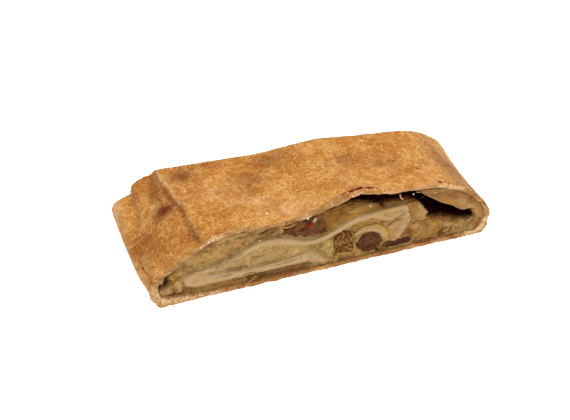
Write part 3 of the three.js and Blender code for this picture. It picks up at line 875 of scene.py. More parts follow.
# The ridge and the humps take the flour colour as a painted highlight along their tops.
RIDGE_HIGHLIGHT, HUMP_HIGHLIGHT = 0.8, 0.4
FIRM_AT_BACK = 0.7
FIRM_FROM = (0, 10)
FLAKY_LOOSENESS = 0.6
BASE_TOP = (3.5, 1.5)
STREAKED_FROM = (40, 52)
depth = np.minimum(from_cut(points), FARTHEST)
folds = RIDGE_HEIGHT * ridge + HUMP_HEIGHT * humps - GROOVE_DEPTH * groove - SEAM_DEPTH * seam
crust_numbers = {
    "outside": outside,
    "cut_distance": depth,
    "scorched": np.maximum(blots(points, SCORCH), np.maximum(groove * GROOVE_SCORCH_AND_SHADE, seam * SEAM_SCORCH)),
    "burnt": blots(points, BURNT),
    "skin_gap": edge_gap,
    "edge_distance": depth - fray * outside,
    "ledge": folds,
    "looseness": 1 - FIRM_AT_BACK * step(y, *FIRM_FROM) + FLAKY_LOOSENESS * strokes(points, FLAKY),
    "underside": step(z, *BASE_TOP),
    "pale_edge": strokes(points, PALE_AND_LIT_EDGE),
    "toasted_edge": strokes(points, TOASTED_EDGE),
    "streaked": step(x, *STREAKED_FROM),
    "curled": strokes(points, CURLED),
    "floured": np.maximum(blots(points, FLOUR), np.maximum(ridge * RIDGE_HIGHLIGHT, humps * HUMP_HIGHLIGHT)),
}
for name, values in crust_numbers.items():
    paint(crust, name, values)
print("painted on the crust:", list(crust_numbers))

# %% [markdown]
# The relief of the skin follows a rule all over the loaf: soft wrinkles a few millimetres apart, a net
# of fine raised stretch lines, and the painted folds. The cut edge has a coarser, crumbly relief
# instead, torn in every direction. A Geometry Nodes tree moves each point by the sum of those patterns,
# which keeps the form and adds what a finger would feel.

# %% Helpers for relief trees
NOISE_MIDDLE = (0.5, 0.5, 0.5)


def stored(wires, name):
    """Reads a painted number in Geometry Nodes."""
    node = wires.add("GeometryNodeInputNamedAttribute", {"Name": name}, data_type="FLOAT")
    return node.outputs["Attribute"]


def point_places(wires):
    """The place of each point in mm, so that every size in a tree is a real one."""
    return wires.scaled(wires.add("GeometryNodeInputPosition").outputs[0], 1 / MM)


def ended(wires, geometry, given, result):
    """Ends a tree with real geometry instead of instances, in the material it was given."""
    real = wires.add("GeometryNodeRealizeInstances", {0: geometry})
    finish = {"Geometry": real.outputs[0], "Material": given["Material"]}
    wires.join(wires.add("GeometryNodeSetMaterial", finish).outputs[0], result["Geometry"])
    print(wires.tree.name, "has", len(wires.tree.nodes), "nodes")
    return wires.tree


print("a noise swings round", NOISE_MIDDLE[0])

# %% The relief tree of the pastry
SKIN_FROM = (0.2, 1.6)
TORN_UNTIL = (1.1, 0.2)
NET_LINE = (0.16, 0.0)
TEAR_WIDER, DRIFT_WIDER = 3.3, 2.2
TEAR_MIDDLE = 0.55
wires, given, result = group(
    "Pastry relief",
    "GeometryNodeTree",
    [
        ("Geometry", GEOMETRY, None),
        ("Wrinkle Size", FLOAT, 7.0),
        ("Wrinkle Depth", FLOAT, 0.3),
        ("Line Size", FLOAT, 2.6),
        ("Line Height", FLOAT, 0.1),
        ("Tear Size", FLOAT, 1.15),
        ("Tear Depth", FLOAT, 1.0),
        ("Tear Reach", FLOAT, 1.5),
        ("Material", MATERIAL, None),
    ],
    [("Geometry", GEOMETRY)],
)
spot = point_places(wires)
skin = wires.times(stored(wires, "outside"), wires.ramp(stored(wires, "edge_distance"), *SKIN_FROM))
torn = wires.times(wires.ramp(stored(wires, "edge_distance"), *TORN_UNTIL), stored(wires, "looseness"))
wrinkle = wires.noise(spot, given["Wrinkle Size"], 2.0, 0.5, 0.8).outputs[0]
wander = wires.scaled(wires.noise(spot, given["Line Size"], 1.0).outputs[1], given["Line Size"])
net = wires.cells(wires.vector("ADD", spot, wander), given["Line Size"], "DISTANCE_TO_EDGE").outputs[0]
line = wires.ramp(net, *NET_LINE)
fine_tear = wires.noise(spot, given["Tear Size"], 2.0, 0.7).outputs[0]
wide_tear = wires.noise(spot, wires.times(given["Tear Size"], TEAR_WIDER), 2.0, 0.5).outputs[0]
tear = wires.times(wires.total(fine_tear, wide_tear), 0.5)
drift = wires.noise(spot, wires.times(given["Tear Size"], DRIFT_WIDER), 3.0, 0.65).outputs[1]
shift = wires.vector("SUBTRACT", drift, NOISE_MIDDLE)
ragged = wires.scaled(shift, wires.times(torn, given["Tear Reach"]))
wrinkles = wires.times(wires.math("SUBTRACT", wrinkle, 0.5), given["Wrinkle Depth"])
lines = wires.times(line, given["Line Height"])
tears = wires.times(wires.math("SUBTRACT", tear, TEAR_MIDDLE), given["Tear Depth"])
on_skin = wires.times(wires.total(wrinkles, lines, stored(wires, "ledge")), skin)
height = wires.total(on_skin, wires.times(tears, torn))
normal = wires.add("GeometryNodeInputNormal").outputs[0]
offset = wires.scaled(wires.vector("ADD", wires.scaled(normal, height), ragged), MM)
moved = wires.add("GeometryNodeSetPosition", {"Geometry": given["Geometry"], "Offset": offset})
PASTRY_RELIEF = ended(wires, moved.outputs[0], given, result)

# %% [markdown]
# The crust's colour is built in layers, as baking does it. First comes the mottled golden skin with
# its pale stretch lines, flecks and pits. Brown scorch lies over that, and the same brown is painted
# shade in the crease; then come the few burnt spots, then flour, whose pale colour is also a painted
# highlight along the ridge and the humps. Where the knife went through, all of that gives way to pale
# crumb with brown specks, behind a thin browned rim; a few pale strokes there are painted light on the
# shelf and the corners that lie in shade. Above the hollow the skin has curled over the cut, so there
# the browned colours come down over the rim. Inside, the sheet is moist, and it is painted darker away
# from the cut: painted shade of the hollow.

# %% The crust's colours
GOLDEN_LIGHT = colour(204, 138, 58)
GOLDEN_DARK = colour(174, 102, 34)
STRETCH_PALE = colour(250, 200, 124)
PIT_BROWN = colour(134, 68, 18)
SCORCH_AND_SHADE_BROWN = colour(96, 26, 4)
BURNT_RED = colour(104, 32, 8)
FLOUR_AND_HIGHLIGHT_PALE = colour(236, 186, 134)
CRUMB_LIGHT = colour(232, 194, 140)
CRUMB_DARK = colour(180, 130, 78)
BASE_LIGHT = colour(220, 170, 106)
BASE_DARK = colour(160, 98, 44)
RIM_BROWN = colour(180, 98, 32)
TOASTED_BROWN = colour(160, 102, 48)
CHIP_PALE_AND_LIT = colour(246, 212, 158)
MOIST_LIGHT = colour(200, 154, 94)
MOIST_DARK = colour(146, 98, 46)
INNER_LIGHT = colour(176, 132, 74)
# The colour of the painted shade on the crust's inside, deep in the hollow.
INNER_SHADE = colour(72, 28, 16)

crust_finish, wires, shader = new_material("baked_pastry")
mm = places_in_mm(wires)
print("the crust's finish is called", crust_finish.name)

# %% The crust's skin
SKIN_PATCH = 14.0
SPECKLE_SIZE = 0.95
STREAK_SIZE = 1.6
PIT_SIZE = 1.4
ALONG_LOAF = (1.3, 0.22, 1.3)
FADE_WIDER = 1.6
FLECKS_FROM, DIPS_FROM = (0.5, 0.68), (0.46, 0.3)
STREAKS_FROM, LINES_FROM = (0.4, 0.65), (0.38, 0.6)
THIN_SHARE, LINE_SHARE, FLECK_SHARE = 0.8, 0.55, 0.34
RAISED_PALE, STREAK_PALE, MOST_PALE = 0.85, 0.3, 0.9
PIT_SHARE, DIP_DARK, PIT_DARK = 0.14, 0.36, 0.5
STRETCH_LINES = [
    (9.0, 0.034, (0.0, 0.0, 0.0)),
    (4.6, 0.06, (9.0, 4.0, 2.0)),
    (3.0, 0.08, (3.0, 17.0, 5.0)),
]


def broken_lines(wires, mm, size, width, shift):
    """Thin curving lines that fade in and out, about size apart."""
    place = wires.vector("ADD", mm, shift)
    line = wires.ridge(wires.noise(place, size, 2.0, 0.55, 0.6).outputs[0], width)
    return wires.times(line, wires.ramp(wires.noise(place, FADE_WIDER * size, 1.0).outputs[0], *LINES_FROM))


skin = mottled(wires, mm, SKIN_PATCH, GOLDEN_LIGHT, GOLDEN_DARK, 0.9)
speckle = wires.noise(mm, SPECKLE_SIZE, 2.0, 0.7, 0.4).outputs[0]
flecks = wires.ramp(speckle, *FLECKS_FROM)
dips = wires.ramp(speckle, *DIPS_FROM)
wide_lines, fine_lines, thin_lines = [broken_lines(wires, mm, *kind) for kind in STRETCH_LINES]
along_loaf = wires.noise(wires.vector("MULTIPLY", mm, ALONG_LOAF), STREAK_SIZE, 3.0, 0.6).outputs[0]
streaks = wires.times(painted(wires, "streaked"), wires.ramp(along_loaf, *STREAKS_FROM))
thick_lines = wires.math("MAXIMUM", wide_lines, fine_lines)
lines = wires.math("MAXIMUM", thick_lines, wires.times(thin_lines, THIN_SHARE))
raised = wires.total(wires.times(lines, LINE_SHARE), wires.times(flecks, FLECK_SHARE))
pale_share = wires.total(wires.times(raised, RAISED_PALE), wires.times(streaks, STREAK_PALE))
with_lines = wires.mix(wires.math("MINIMUM", pale_share, MOST_PALE), skin["Colour"], STRETCH_PALE)
pores = use_group(wires, PORES, place=mm, size=PIT_SIZE, share=PIT_SHARE)["Mask"]
dark_share = wires.math("MAXIMUM", wires.times(dips, DIP_DARK), wires.times(pores, PIT_DARK))
with_pits = wires.mix(dark_share, with_lines, PIT_BROWN)
print("kinds of stretch line:", len(STRETCH_LINES))

# %% Scorch, flour, burnt spots and painted light on the skin
FRINGE_SIZE = 2.2
SCORCH_AND_SHADE_FRINGE = (0.25, 0.6, 0.7, 1.0)
FLOUR_AND_HIGHLIGHT_FRINGE = (0.4, 0.58, 0.1, 0.85)
BURNT_FRINGE = 0.5
BURNT_FROM = (0.55, 0.95)
ragged = wires.noise(mm, FRINGE_SIZE, 4.0, 0.7).outputs[0]
# Scorch, and painted shade in the crease.
scorch = wires.times(painted(wires, "scorched"), wires.ramp(ragged, *SCORCH_AND_SHADE_FRINGE))
with_scorch_and_shade = wires.mix(scorch, with_pits, SCORCH_AND_SHADE_BROWN)
# Flour, and a painted highlight along the ridge and the humps.
dust_and_highlight = wires.times(painted(wires, "floured"), wires.ramp(ragged, *FLOUR_AND_HIGHLIGHT_FRINGE))
with_flour_and_highlight = wires.mix(dust_and_highlight, with_scorch_and_shade, FLOUR_AND_HIGHLIGHT_PALE)
burnt = wires.ramp(wires.total(painted(wires, "burnt"), wires.times(ragged, BURNT_FRINGE)), *BURNT_FROM)
with_burns = wires.mix(burnt, with_flour_and_highlight, BURNT_RED)
print("the skin's layers: stretch lines, pits, scorch, flour, burnt spots")

# %% The crumb of the cut edge
SHEETS = (0.4, 1.0, 2.2)
DOTS = (0.8, 1.0, 1.4)
CRUMB_PATCH = 4.0
MOIST_PATCH = 3.0
CHIP_SIZE = 1.0
SPECK_SIZE = 1.2
WAVE_SIZE = 1.4
WANDER_SIZE, WANDER_REACH = 4.5, 3.0
CHIPS_FROM, SPECKS_FROM = (0.4, 0.58, 0.1, 1.0), (0.52, 0.62, 0.0, 0.75)
TOASTED_SHARE, MOST_SOAKED = 0.8, 0.95
SOAKED_FROM = (0.45, 1.1)
sheets = wires.vector("MULTIPLY", mm, SHEETS)
crumb = mottled(wires, sheets, CRUMB_PATCH, CRUMB_LIGHT, CRUMB_DARK, 1.4)
base = mottled(wires, wires.vector("MULTIPLY", mm, DOTS), CRUMB_PATCH, BASE_LIGHT, BASE_DARK, 1.9)
moist = mottled(wires, sheets, MOIST_PATCH, MOIST_LIGHT, MOIST_DARK, 1.8)
underside = painted(wires, "underside")
pale_edge = painted(wires, "pale_edge")
skin_depth = painted(wires, "skin_gap")
sides_and_base = wires.mix(underside, crumb["Colour"], base["Colour"])
toasted_share = wires.times(painted(wires, "toasted_edge"), TOASTED_SHARE)
toasted = wires.mix(toasted_share, sides_and_base, TOASTED_BROWN)
chips = wires.ramp(wires.noise(mm, CHIP_SIZE, 3.0, 0.7).outputs[0], *CHIPS_FROM)
# Pale chips of the dry edge; where the pale strokes lie in shade, this is painted light.
dry_and_lit_edge = wires.mix(wires.times(pale_edge, chips), toasted, CHIP_PALE_AND_LIT)
wavy = wires.math("SUBTRACT", wires.noise(mm, WAVE_SIZE, 3.0, 0.7).outputs[0], 0.5)
wander = wires.math("SUBTRACT", wires.noise(mm, WANDER_SIZE, 3.0, 0.7).outputs[0], 0.5)
soft_gap = wires.total(skin_depth, wires.times(wander, WANDER_REACH), wavy)
wet_share = wires.math("SUBTRACT", MOST_SOAKED, wires.math("MAXIMUM", underside, pale_edge))
soaked_edge = wires.times(wires.ramp(soft_gap, *SOAKED_FROM), wet_share)
soft_edge = wires.mix(soaked_edge, dry_and_lit_edge, moist["Colour"])
specks = wires.ramp(wires.noise(mm, SPECK_SIZE, 2.0, 0.6).outputs[0], *SPECKS_FROM)
edge_colour = wires.mix(wires.times(specks, pale_edge), soft_edge, RIM_BROWN)
print("the edge's layers: crumb, toasted places, pale chips, wet crumb, specks")

# %% The rim, the curled skin and the inside
RIM_WIDTH, RIM_WAVE, RIM_SHARE = (0.65, 0.2), 1.4, 0.85
CURL_WIDTH, CURL_WAVE, CURLED_FROM = (1.7, 1.2), 1.6, (0.25, 0.6)
INNER_DEPTH, BASE_DEPTH = (0.4, 4.5), (3.0, 1.0)
OUTSIDE_FROM, TORN_FROM = (0.3, 0.7), (0.5, 0.25)
rim = wires.ramp(wires.total(skin_depth, wires.times(wavy, RIM_WAVE)), *RIM_WIDTH)
rimmed = wires.mix(wires.times(rim, RIM_SHARE), edge_colour, RIM_BROWN)
over_rim = wires.ramp(wires.total(skin_depth, wires.times(wavy, CURL_WAVE)), *CURL_WIDTH)
curled = wires.times(wires.ramp(painted(wires, "curled"), *CURLED_FROM), over_rim)
curled_over = wires.mix(curled, rimmed, with_burns)
cut_depth = painted(wires, "cut_distance")
# Away from the cut the inside is painted dark: painted shade of the hollow.
inner = wires.mix(wires.ramp(cut_depth, *INNER_DEPTH), INNER_LIGHT, INNER_SHADE)
near_base = wires.times(wires.ramp(cut_depth, *BASE_DEPTH), underside)
# The pale strokes lighten the inside near the base as well: painted light on the shaded shelf.
lit_inner = wires.mix(pale_edge, wires.mix(near_base, inner, base["Colour"]), BASE_LIGHT)
in_and_out = wires.mix(wires.ramp(painted(wires, "outside"), *OUTSIDE_FROM), lit_inner, with_burns)
torn = wires.ramp(wires.total(painted(wires, "edge_distance"), wavy), *TORN_FROM)
wires.join(wires.mix(torn, in_and_out, curled_over), shader["Base Color"])
print("nodes in the crust's finish:", len(crust_finish.node_tree.nodes))

# %% The crust's gloss and bump
SKIN_BUMP = 0.22
SKIN_GLOSS = (0.35, 0.65, 0.68, 0.52)
HEIGHT_SHARES = (0.6, 0.6, 0.3)
DARK_SINK = 0.8
wires.join(wires.ramp(skin["Height"], *SKIN_GLOSS), shader["Roughness"])
weighted = [wires.times(*pair) for pair in zip((raised, skin["Height"], streaks), HEIGHT_SHARES)]
pitted = wires.math("SUBTRACT", wires.total(*weighted), wires.times(dark_share, DARK_SINK))
wires.join(bump(wires, pitted, SKIN_BUMP), shader["Normal"])
set_plain(shader, {"Specular IOR Level": 0.12})
glow(shader, 0.05, 0.8, (1.0, 0.5, 0.25))


def in_frame(piece, node=None):
    """Hides the measured solid that the piece stands for, if given, and hangs the piece on the root body."""
    if node:
        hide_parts(node)
    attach(piece, "root")
    print(piece.name, "faces:", len(piece.data.polygons))


shaped(crust, PASTRY_RELIEF, material=crust_finish)
in_frame(crust, "crust")

# %% [markdown]
# ## Everything inside the loaf
#
# The dough, the stewed apple and the fruit have all taken up the same juice, so where two of them
# meet their colours run together. A little way behind the cut everything is painted darker: painted
# shade of the hollow. That is one node group, "Soaked", which all of their materials share, and it
# also lays the strokes of the cut face, with their painted highlights and painted shade. It reads
# painted numbers: how near a point is to the rim of its own cut face, how far it is from the cut, and
# how much of each stroke lies on it.

# %% The soaked group, with painted light and shade
# Stain tints, and the tints of painted light: cream and glassy also paint highlights, brown also paints
# shade, and the darkest one is painted shade only.
STAINS_AND_PAINTED_LIGHT = {
    "golden": colour(194, 142, 56),
    "glassy": colour(196, 160, 108),
    "cream": colour(192, 161, 118),
    "yellow": colour(186, 152, 48),
    "brown": colour(118, 74, 28),
    "black": colour(34, 14, 8),
}
# The colour of the painted shade a little way behind the cut, in the hollow.
HOLLOW_SHADE_BROWN = colour(62, 22, 12)
UNEVEN_SIZE = 1.6
UNEVEN_EDGE = (0.3, 0.65, 0.45, 1.0)
HOLLOW_FROM = (1.0, 4.0)
ALL_STAINS_AND_PAINTED_LIGHT = tuple(STAINS_AND_PAINTED_LIGHT)
stain_and_light_inputs = [(name.capitalize(), FLOAT, 0.0) for name in STAINS_AND_PAINTED_LIGHT]
wires, given, result = group(
    "Soaked",
    "ShaderNodeTree",
    [
        ("Colour", COLOUR, (1, 1, 1, 1)),
        ("Juice", COLOUR, (1, 1, 1, 1)),
        ("Place", VECTOR, None),
        ("Rim", FLOAT, 0.0),
        *stain_and_light_inputs,
        ("Depth", FLOAT, 0.0),
    ],
    [("Colour", COLOUR)],
)
uneven = wires.noise(given["Place"], UNEVEN_SIZE, 3.0, 0.7).outputs[0]
ragged = wires.ramp(uneven, *UNEVEN_EDGE)
stained_and_lit = wires.mix(wires.times(given["Rim"], ragged), given["Colour"], given["Juice"])
# Each stroke tint is laid in turn, stain, painted highlight and painted shade alike.
for name, tint in STAINS_AND_PAINTED_LIGHT.items():
    cover = given[name.capitalize()]
    stained_and_lit = wires.mix(cover if name == "black" else wires.times(cover, ragged), stained_and_lit, tint)
# Darker with distance from the cut: painted shade of the hollow.
deep = wires.mix(wires.ramp(given["Depth"], *HOLLOW_FROM), stained_and_lit, HOLLOW_SHADE_BROWN)
wires.join(deep, result["Colour"])
SOAKED_WITH_PAINTED_LIGHT = wires.tree
print(SOAKED_WITH_PAINTED_LIGHT.name, "has", len(SOAKED_WITH_PAINTED_LIGHT.nodes), "nodes")

# %% A helper for stained colours and painted light


def soaked_with_painted_light(wires, mm, plain, juice, rim_strength=0.7):
    """Gives a plain colour what everything inside the loaf has: juice, stain strokes, painted highlights and
    painted shade.
    """
    rim = wires.times(painted(wires, "rim"), rim_strength)
    stains = {name: painted(wires, name) for name in STAINS_AND_PAINTED_LIGHT}
    depth = painted(wires, "cut_distance")
    made = use_group(wires, SOAKED_WITH_PAINTED_LIGHT, colour=plain, juice=juice, place=mm, rim=rim, depth=depth, **stains)
    return made["Colour"]


print("stains on every piece inside:", ALL_STAINS_AND_PAINTED_LIGHT)

# %% [markdown]
# The stain strokes lie on the cut face, each a width, a strength and a route in mm. They cross from
# piece to piece, as juice does, and they also move the surface: pale crests stand a little proud,
# brown places lie low, and the darkest gaps are real pits. Some of them are light and shade, not
# stain: the cream crests of the dough and some glassy lines are painted highlights, many brown strokes
# are painted shade under the crust and in gaps, and the darkest strokes are painted shade in the pits
# and at the top of the hollow.

# %% Golden and glassy strokes, with painted highlights
GOLDEN = [
    (1.6, 0.7, [(12, 15.5), (16, 16.2), (20, 15.6)]),
    (1.1, 1.0, [(1, 16.4), (5.7, 18.3), (9.3, 20), (13, 20.8), (20, 20.6)]),
    (0.7, 0.6, [(28, 15), (29.2, 13.6)]),
    (1.5, 0.5, [(-47, 16.8), (-44.5, 15.8)]),
    (0.8, 0.5, [(-43, 9.9), (-36, 9.9)]),
    (1.6, 0.9, [(-57, 11.8), (-55.6, 9.8)]),
    (2.2, 0.8, [(42.5, 6), (44, 8)]),
    (2.0, 0.4, [(-40, 17), (-34, 18)]),
    (1.8, 0.8, [(9, 23.5), (14, 23), (19, 21.8)]),
    (1.5, 0.6, [(25, 20.8), (31, 20.6)]),
    (0.7, 0.7, [(15, 14.2), (21, 13.8)]),
    (2.5, 0.4, [(58, 12), (61, 8)]),
    (1.4, 0.6, [(-2.5, 18.5), (-0.6, 17.6)]),
    (1.0, 0.6, [(47, 6), (52, 7)]),
    (1.2, 0.5, [(42, 14), (47, 18), (52, 15)]),
    (0.9, 0.6, [(-52, 3.0), (-30, 3.0)]),
    (1.5, 0.7, [(24, 19.2), (28.5, 18.6)]),
    (1.3, 0.7, [(25, 14.6), (29, 13.8)]),
    (1.5, 0.6, [(26.5, 11), (25.5, 7.5)]),
]
# Glassy strokes are pale translucent apple. The thin lines along the thin slice's right edge and over the
# small apple piece at the left end are painted highlights.
GLASSY_AND_HIGHLIGHT = [
    (1.0, 0.9, [(-37, 22.7), (-33, 23.2), (-29.5, 23)]),
    (1.7, 0.6, [(-51, 16.5), (-48, 18)]),
    (1.2, 0.7, [(-53.7, 5), (-53.7, 8)]),
    (0.9, 0.9, [(-23.5, 23.3), (-20.5, 23.3)]),
    (0.8, 0.7, [(9, 22.4), (13, 22.8)]),
    (0.7, 0.8, [(16, 23.2), (18.4, 22.6)]),
    (0.6, 0.7, [(11.5, 24.6), (12.6, 23.6)]),
    (1.0, 0.5, [(23.6, 21.0), (29, 21.2)]),
    (1.3, 0.8, [(37.2, 6.4), (37.8, 7)]),
    (1.5, 0.8, [(46.5, 6.8), (50.5, 6.2)]),
    (0.8, 0.5, [(41, 9.6), (41, 4.5)]),
    (1.5, 0.5, [(36, 15), (38.5, 13.5)]),
    (0.45, 0.9, [(35.6, 19), (37, 16.5), (39.6, 13.9)]),
    (2.4, 0.2, [(41, 23.4), (45, 21)]),
    (2.0, 0.6, [(52, 17), (54.5, 14), (58, 10.5), (58.8, 7.8)]),
    (2.0, 0.5, [(57, 3), (52, 2.6)]),
    (0.35, 0.9, [(-54.9, 8.7), (-53.8, 9.6), (-52.8, 9.4)]),
    (1.6, 0.4, [(-10, 12), (-6, 9.5)]),
    (2.6, 0.7, [(-38, 10.5), (-28, 12), (-14, 11)]),
]
print("golden and glassy strokes:", len(GOLDEN + GLASSY_AND_HIGHLIGHT))

# %% Cream and yellow strokes, with painted highlights
# Cream strokes are the dough's own pale colour and a painted highlight along the crest of each band.
CREAM_AND_HIGHLIGHT = [
    (3.0, 0.8, [(-49, 7.6), (-46, 8)]),
    (1.25, 0.9, [(-44, 11), (-38, 12), (-32, 14.5), (-28, 16.5), (-25, 17.5), (-20, 17.3), (-16, 16.8)]),
    (1.1, 0.9, [(-16, 16.8), (-12, 15.3), (-8, 13.7), (-5, 13.1), (-2, 13.3), (1, 14.2), (4, 15.5)]),
    (1.2, 0.9, [(4, 15.5), (7, 17.2), (10, 18.6), (13, 19.2), (17, 19.3), (20, 18.8), (22, 17.6)]),
    (1.2, 1.0, [(22, 17.6), (25, 16.4), (28, 17), (30, 18.5)]),
    (0.9, 0.8, [(22, 19.8), (26, 19.6), (30, 19.8)]),
    (1.7, 0.9, [(-44, 7.4), (-40, 7.0), (-30, 6.9), (-20, 6.6), (-10, 7.0), (-5, 6.6)]),
    (1.4, 0.8, [(-5, 6.6), (-2, 4.6), (0.5, 3.4)]),
    (0.9, 0.8, [(27.4, 9), (29.5, 11), (30.7, 13)]),
    (0.9, 0.8, [(12, 12.3), (15, 13.1), (18, 12.8), (21, 11.2), (23, 8.5)]),
    (0.6, 0.8, [(44, 24.2), (48, 22.6), (53, 20.8)]),
]
YELLOW = [
    (0.5, 0.6, [(21.8, 19.2), (23, 18), (24.5, 17.4)]),
    (0.5, 0.5, [(-55.6, 9.4), (-54.8, 8.6)]),
    (0.5, 0.5, [(-24.5, 15.9), (-23, 16.2), (-21, 15.6)]),
    (0.7, 0.35, [(-20, 9), (-13, 8.4)]),
    (0.6, 0.5, [(-8, 11.6), (-5, 11.6)]),
]
print("cream and yellow strokes:", len(CREAM_AND_HIGHLIGHT + YELLOW))

# %% Brown strokes and painted shade
# Brown strokes are juice stains; under the crust, beside the hollows and at gaps they are painted shade as
# well.
BROWN_AND_SHADE = [
    (0.8, 0.8, [(-47, 18.9), (-44.5, 19.6), (-42, 19)]),
    (0.8, 0.7, [(-42, 21), (-39.5, 22.3)]),
    (0.5, 0.7, [(-33, 21.7), (-28.6, 22)]),
    (1.3, 0.7, [(-28, 22.8), (-25.5, 21.5)]),
    (0.9, 0.6, [(-58, 12.3), (-54, 13.9), (-51.5, 15.4)]),
    (0.5, 0.8, [(-26.8, 12.1), (-25.5, 11.8), (-24.2, 11.7)]),
    (0.35, 0.7, [(-43.2, 10), (-42, 9.5)]),
    (1.0, 0.8, [(-28.3, 3.5), (-26.8, 4.6)]),
    (0.8, 0.8, [(-56.2, 6.2), (-54.8, 5)]),
    (0.5, 0.8, [(-52.4, 5), (-52.3, 8)]),
    (0.8, 0.8, [(-24, 1.9), (-15, 1.7), (-7, 1.4)]),
    (1.2, 0.4, [(-24, 4), (-12, 3.8)]),
    (0.5, 0.9, [(-5.8, 11.7), (-3.5, 11.2)]),
    (2.2, 0.5, [(-22, 20.5), (-18, 21)]),
    (2.0, 0.5, [(1, 22), (6, 23)]),
    (1.5, 0.7, [(31.5, 8.5), (33.5, 6.5)]),
    (0.5, 0.7, [(32.7, 11.5), (31, 8), (28, 5.4)]),
    (1.4, 0.7, [(24, 4.6), (21.5, 2)]),
    (1.5, 0.7, [(33.5, 22.5), (33.8, 19)]),
    (1.4, 0.9, [(47, 10.4), (50.5, 9.3), (56, 8.6)]),
    (1.3, 0.9, [(42, 11.8), (45, 10.6), (48, 9.6)]),
    (0.9, 0.8, [(49.5, 7.8), (52, 7)]),
    (1.0, 0.9, [(53, 11.2), (57, 10.8)]),
    (0.8, 0.8, [(53.2, 20.6), (54, 19.8)]),
    (0.5, 0.9, [(55.6, 17.2), (56.2, 16.5)]),
    (0.6, 0.9, [(60.2, 6.6), (60.6, 6.3)]),
    (0.5, 0.6, [(62.2, 10.8), (62.4, 10)]),
    (0.5, 0.8, [(40.8, 2.2), (41.4, 1.9)]),
    (0.6, 0.8, [(45.2, 2.6), (46, 2.2)]),
    (1.1, 0.9, [(7, 7.8), (9.5, 7.6)]),
    (0.9, 0.7, [(9, 25.0), (13, 24.2), (18, 22.8), (23, 21.6), (29, 21.2), (33, 20.8)]),
    (1.6, 0.5, [(-3.4, 24), (-1, 20.5), (1, 17)]),
    (0.8, 0.7, [(58.2, 8.6), (58.9, 7.6)]),
    (0.6, 0.6, [(21.7, 14.5), (22.3, 13.6)]),
    (0.4, 0.7, [(17, 17.8), (17.8, 17.5)]),
    (1.6, 0.6, [(4, 13.2), (10, 13.4)]),
    (0.9, 0.5, [(24.6, 7.2), (27, 6.6)]),
    (2.6, 0.35, [(27.5, 9.5), (28.5, 13), (29, 17)]),
    (0.3, 0.8, [(26.6, 15.4), (28.6, 15.6), (29.6, 17.2), (28.6, 18.6)]),
    (0.3, 0.6, [(24.4, 12.9), (27, 12.6), (29.6, 14.4)]),
    (0.35, 0.7, [(31.6, 18.6), (32.2, 15.5), (30.6, 11.4)]),
    (0.35, 0.6, [(42, 11.5), (44.5, 8.4), (44.6, 5.2)]),
    (0.35, 0.6, [(47.4, 8.8), (50.6, 8.0), (53.4, 5.4)]),
]
print("brown strokes:", len(BROWN_AND_SHADE))

# %% Black strokes of painted shade
# The darkest strokes are painted shade, in pits pushed back behind the cut and along the top of the hollow.
SHADE_BLACK = [
    (1.1, 1.0, [(8.6, 27.2), (13, 26.6), (18, 25.2), (23, 24.0), (28, 23.4), (33.5, 22.8)]),
    (1.0, 1.0, [(-58.7, 12.2), (-57.9, 10.6), (-58.4, 9.0)]),
    (0.8, 1.0, [(-61.2, 8.8), (-60, 7.8), (-58.3, 8.2)]),
    (0.35, 0.9, [(-24, 21.4), (-22, 21.6), (-20, 22.6), (-17.5, 22.2)]),
    (0.45, 1.0, [(-0.4, 16.5), (-0.1, 16.1)]),
    (0.3, 0.7, [(-15, 20.4), (-13, 21), (-11.3, 20.8)]),
    (0.3, 0.7, [(-9, 18.7), (-6.5, 19)]),
    (0.45, 0.8, [(-8, 23.6), (-6.9, 22.8)]),
    (0.35, 0.8, [(6.6, 15), (7.1, 14.8)]),
    (0.6, 0.9, [(21.2, 23.2), (22, 21.8)]),
    (1.0, 0.9, [(40, 13), (42, 12.4)]),
    (0.7, 0.8, [(54, 11), (56.8, 11)]),
    (0.4, 0.7, [(20.2, 2.4), (20.6, 1.2)]),
    (0.4, 0.6, [(12.4, 6.4), (13, 5)]),
    (0.5, 0.6, [(10.2, 12), (10.6, 9.5)]),
]
print("black strokes:", len(SHADE_BLACK))

# %% [markdown]
# Each stain has a push: how far, in mm, it moves the cut face out at its full strength. Two more
# things are told from the mesh itself. Juice gathers at the rim of every piece, so each point's
# distance to its rim is measured. Apple that touches the pale dough looks creamy, so its distance to
# the dough's own cut face is measured too.

# %% How the stains push
ALL_STROKES = {
    "golden": GOLDEN,
    "glassy": GLASSY_AND_HIGHLIGHT,
    "cream": CREAM_AND_HIGHLIGHT,
    "yellow": YELLOW,
    "brown": BROWN_AND_SHADE,
    "black": SHADE_BLACK,
}
PUSH = {"golden": 0.0, "glassy": 0.3, "cream": 0.4, "yellow": 0.1, "brown": -0.45, "black": -2.2}
DARK_ONLY = ("brown", "black")
print("strokes on the cut face:", sum(len(marks) for marks in ALL_STROKES.values()))

# %% Rims and neighbours
RIM_FADE = 0.45
RIM_FACING = 0.75
FRONT_FACING = 0.6
FRONT_DEPTH = 2.0
DOUGH_FADE = 0.9
TINT_DEPTH = (3.0, 1.5)


def rim_of(points, facing):
    """How near each point of a cut face is to that face's rim: 1 at the rim, 0 well inside it."""
    sideways = np.abs(facing[:, 1]) < RIM_FACING
    border = search_tree(points[sideways].tolist())
    gaps = np.array([0.0 if side else border.find(p)[2] for p, side in zip(points.tolist(), sideways)])
    return np.exp(-gaps / RIM_FADE)


def cut_face_of(piece):
    """The near cut face of a piece, as a search tree of its flattened points."""
    points, facing = spots(piece)
    at_cut = points[:, 1] < NEAR_CUT + FRONT_DEPTH
    return search_tree(flattened(points[(facing[:, 1] < -FRONT_FACING) & at_cut]))


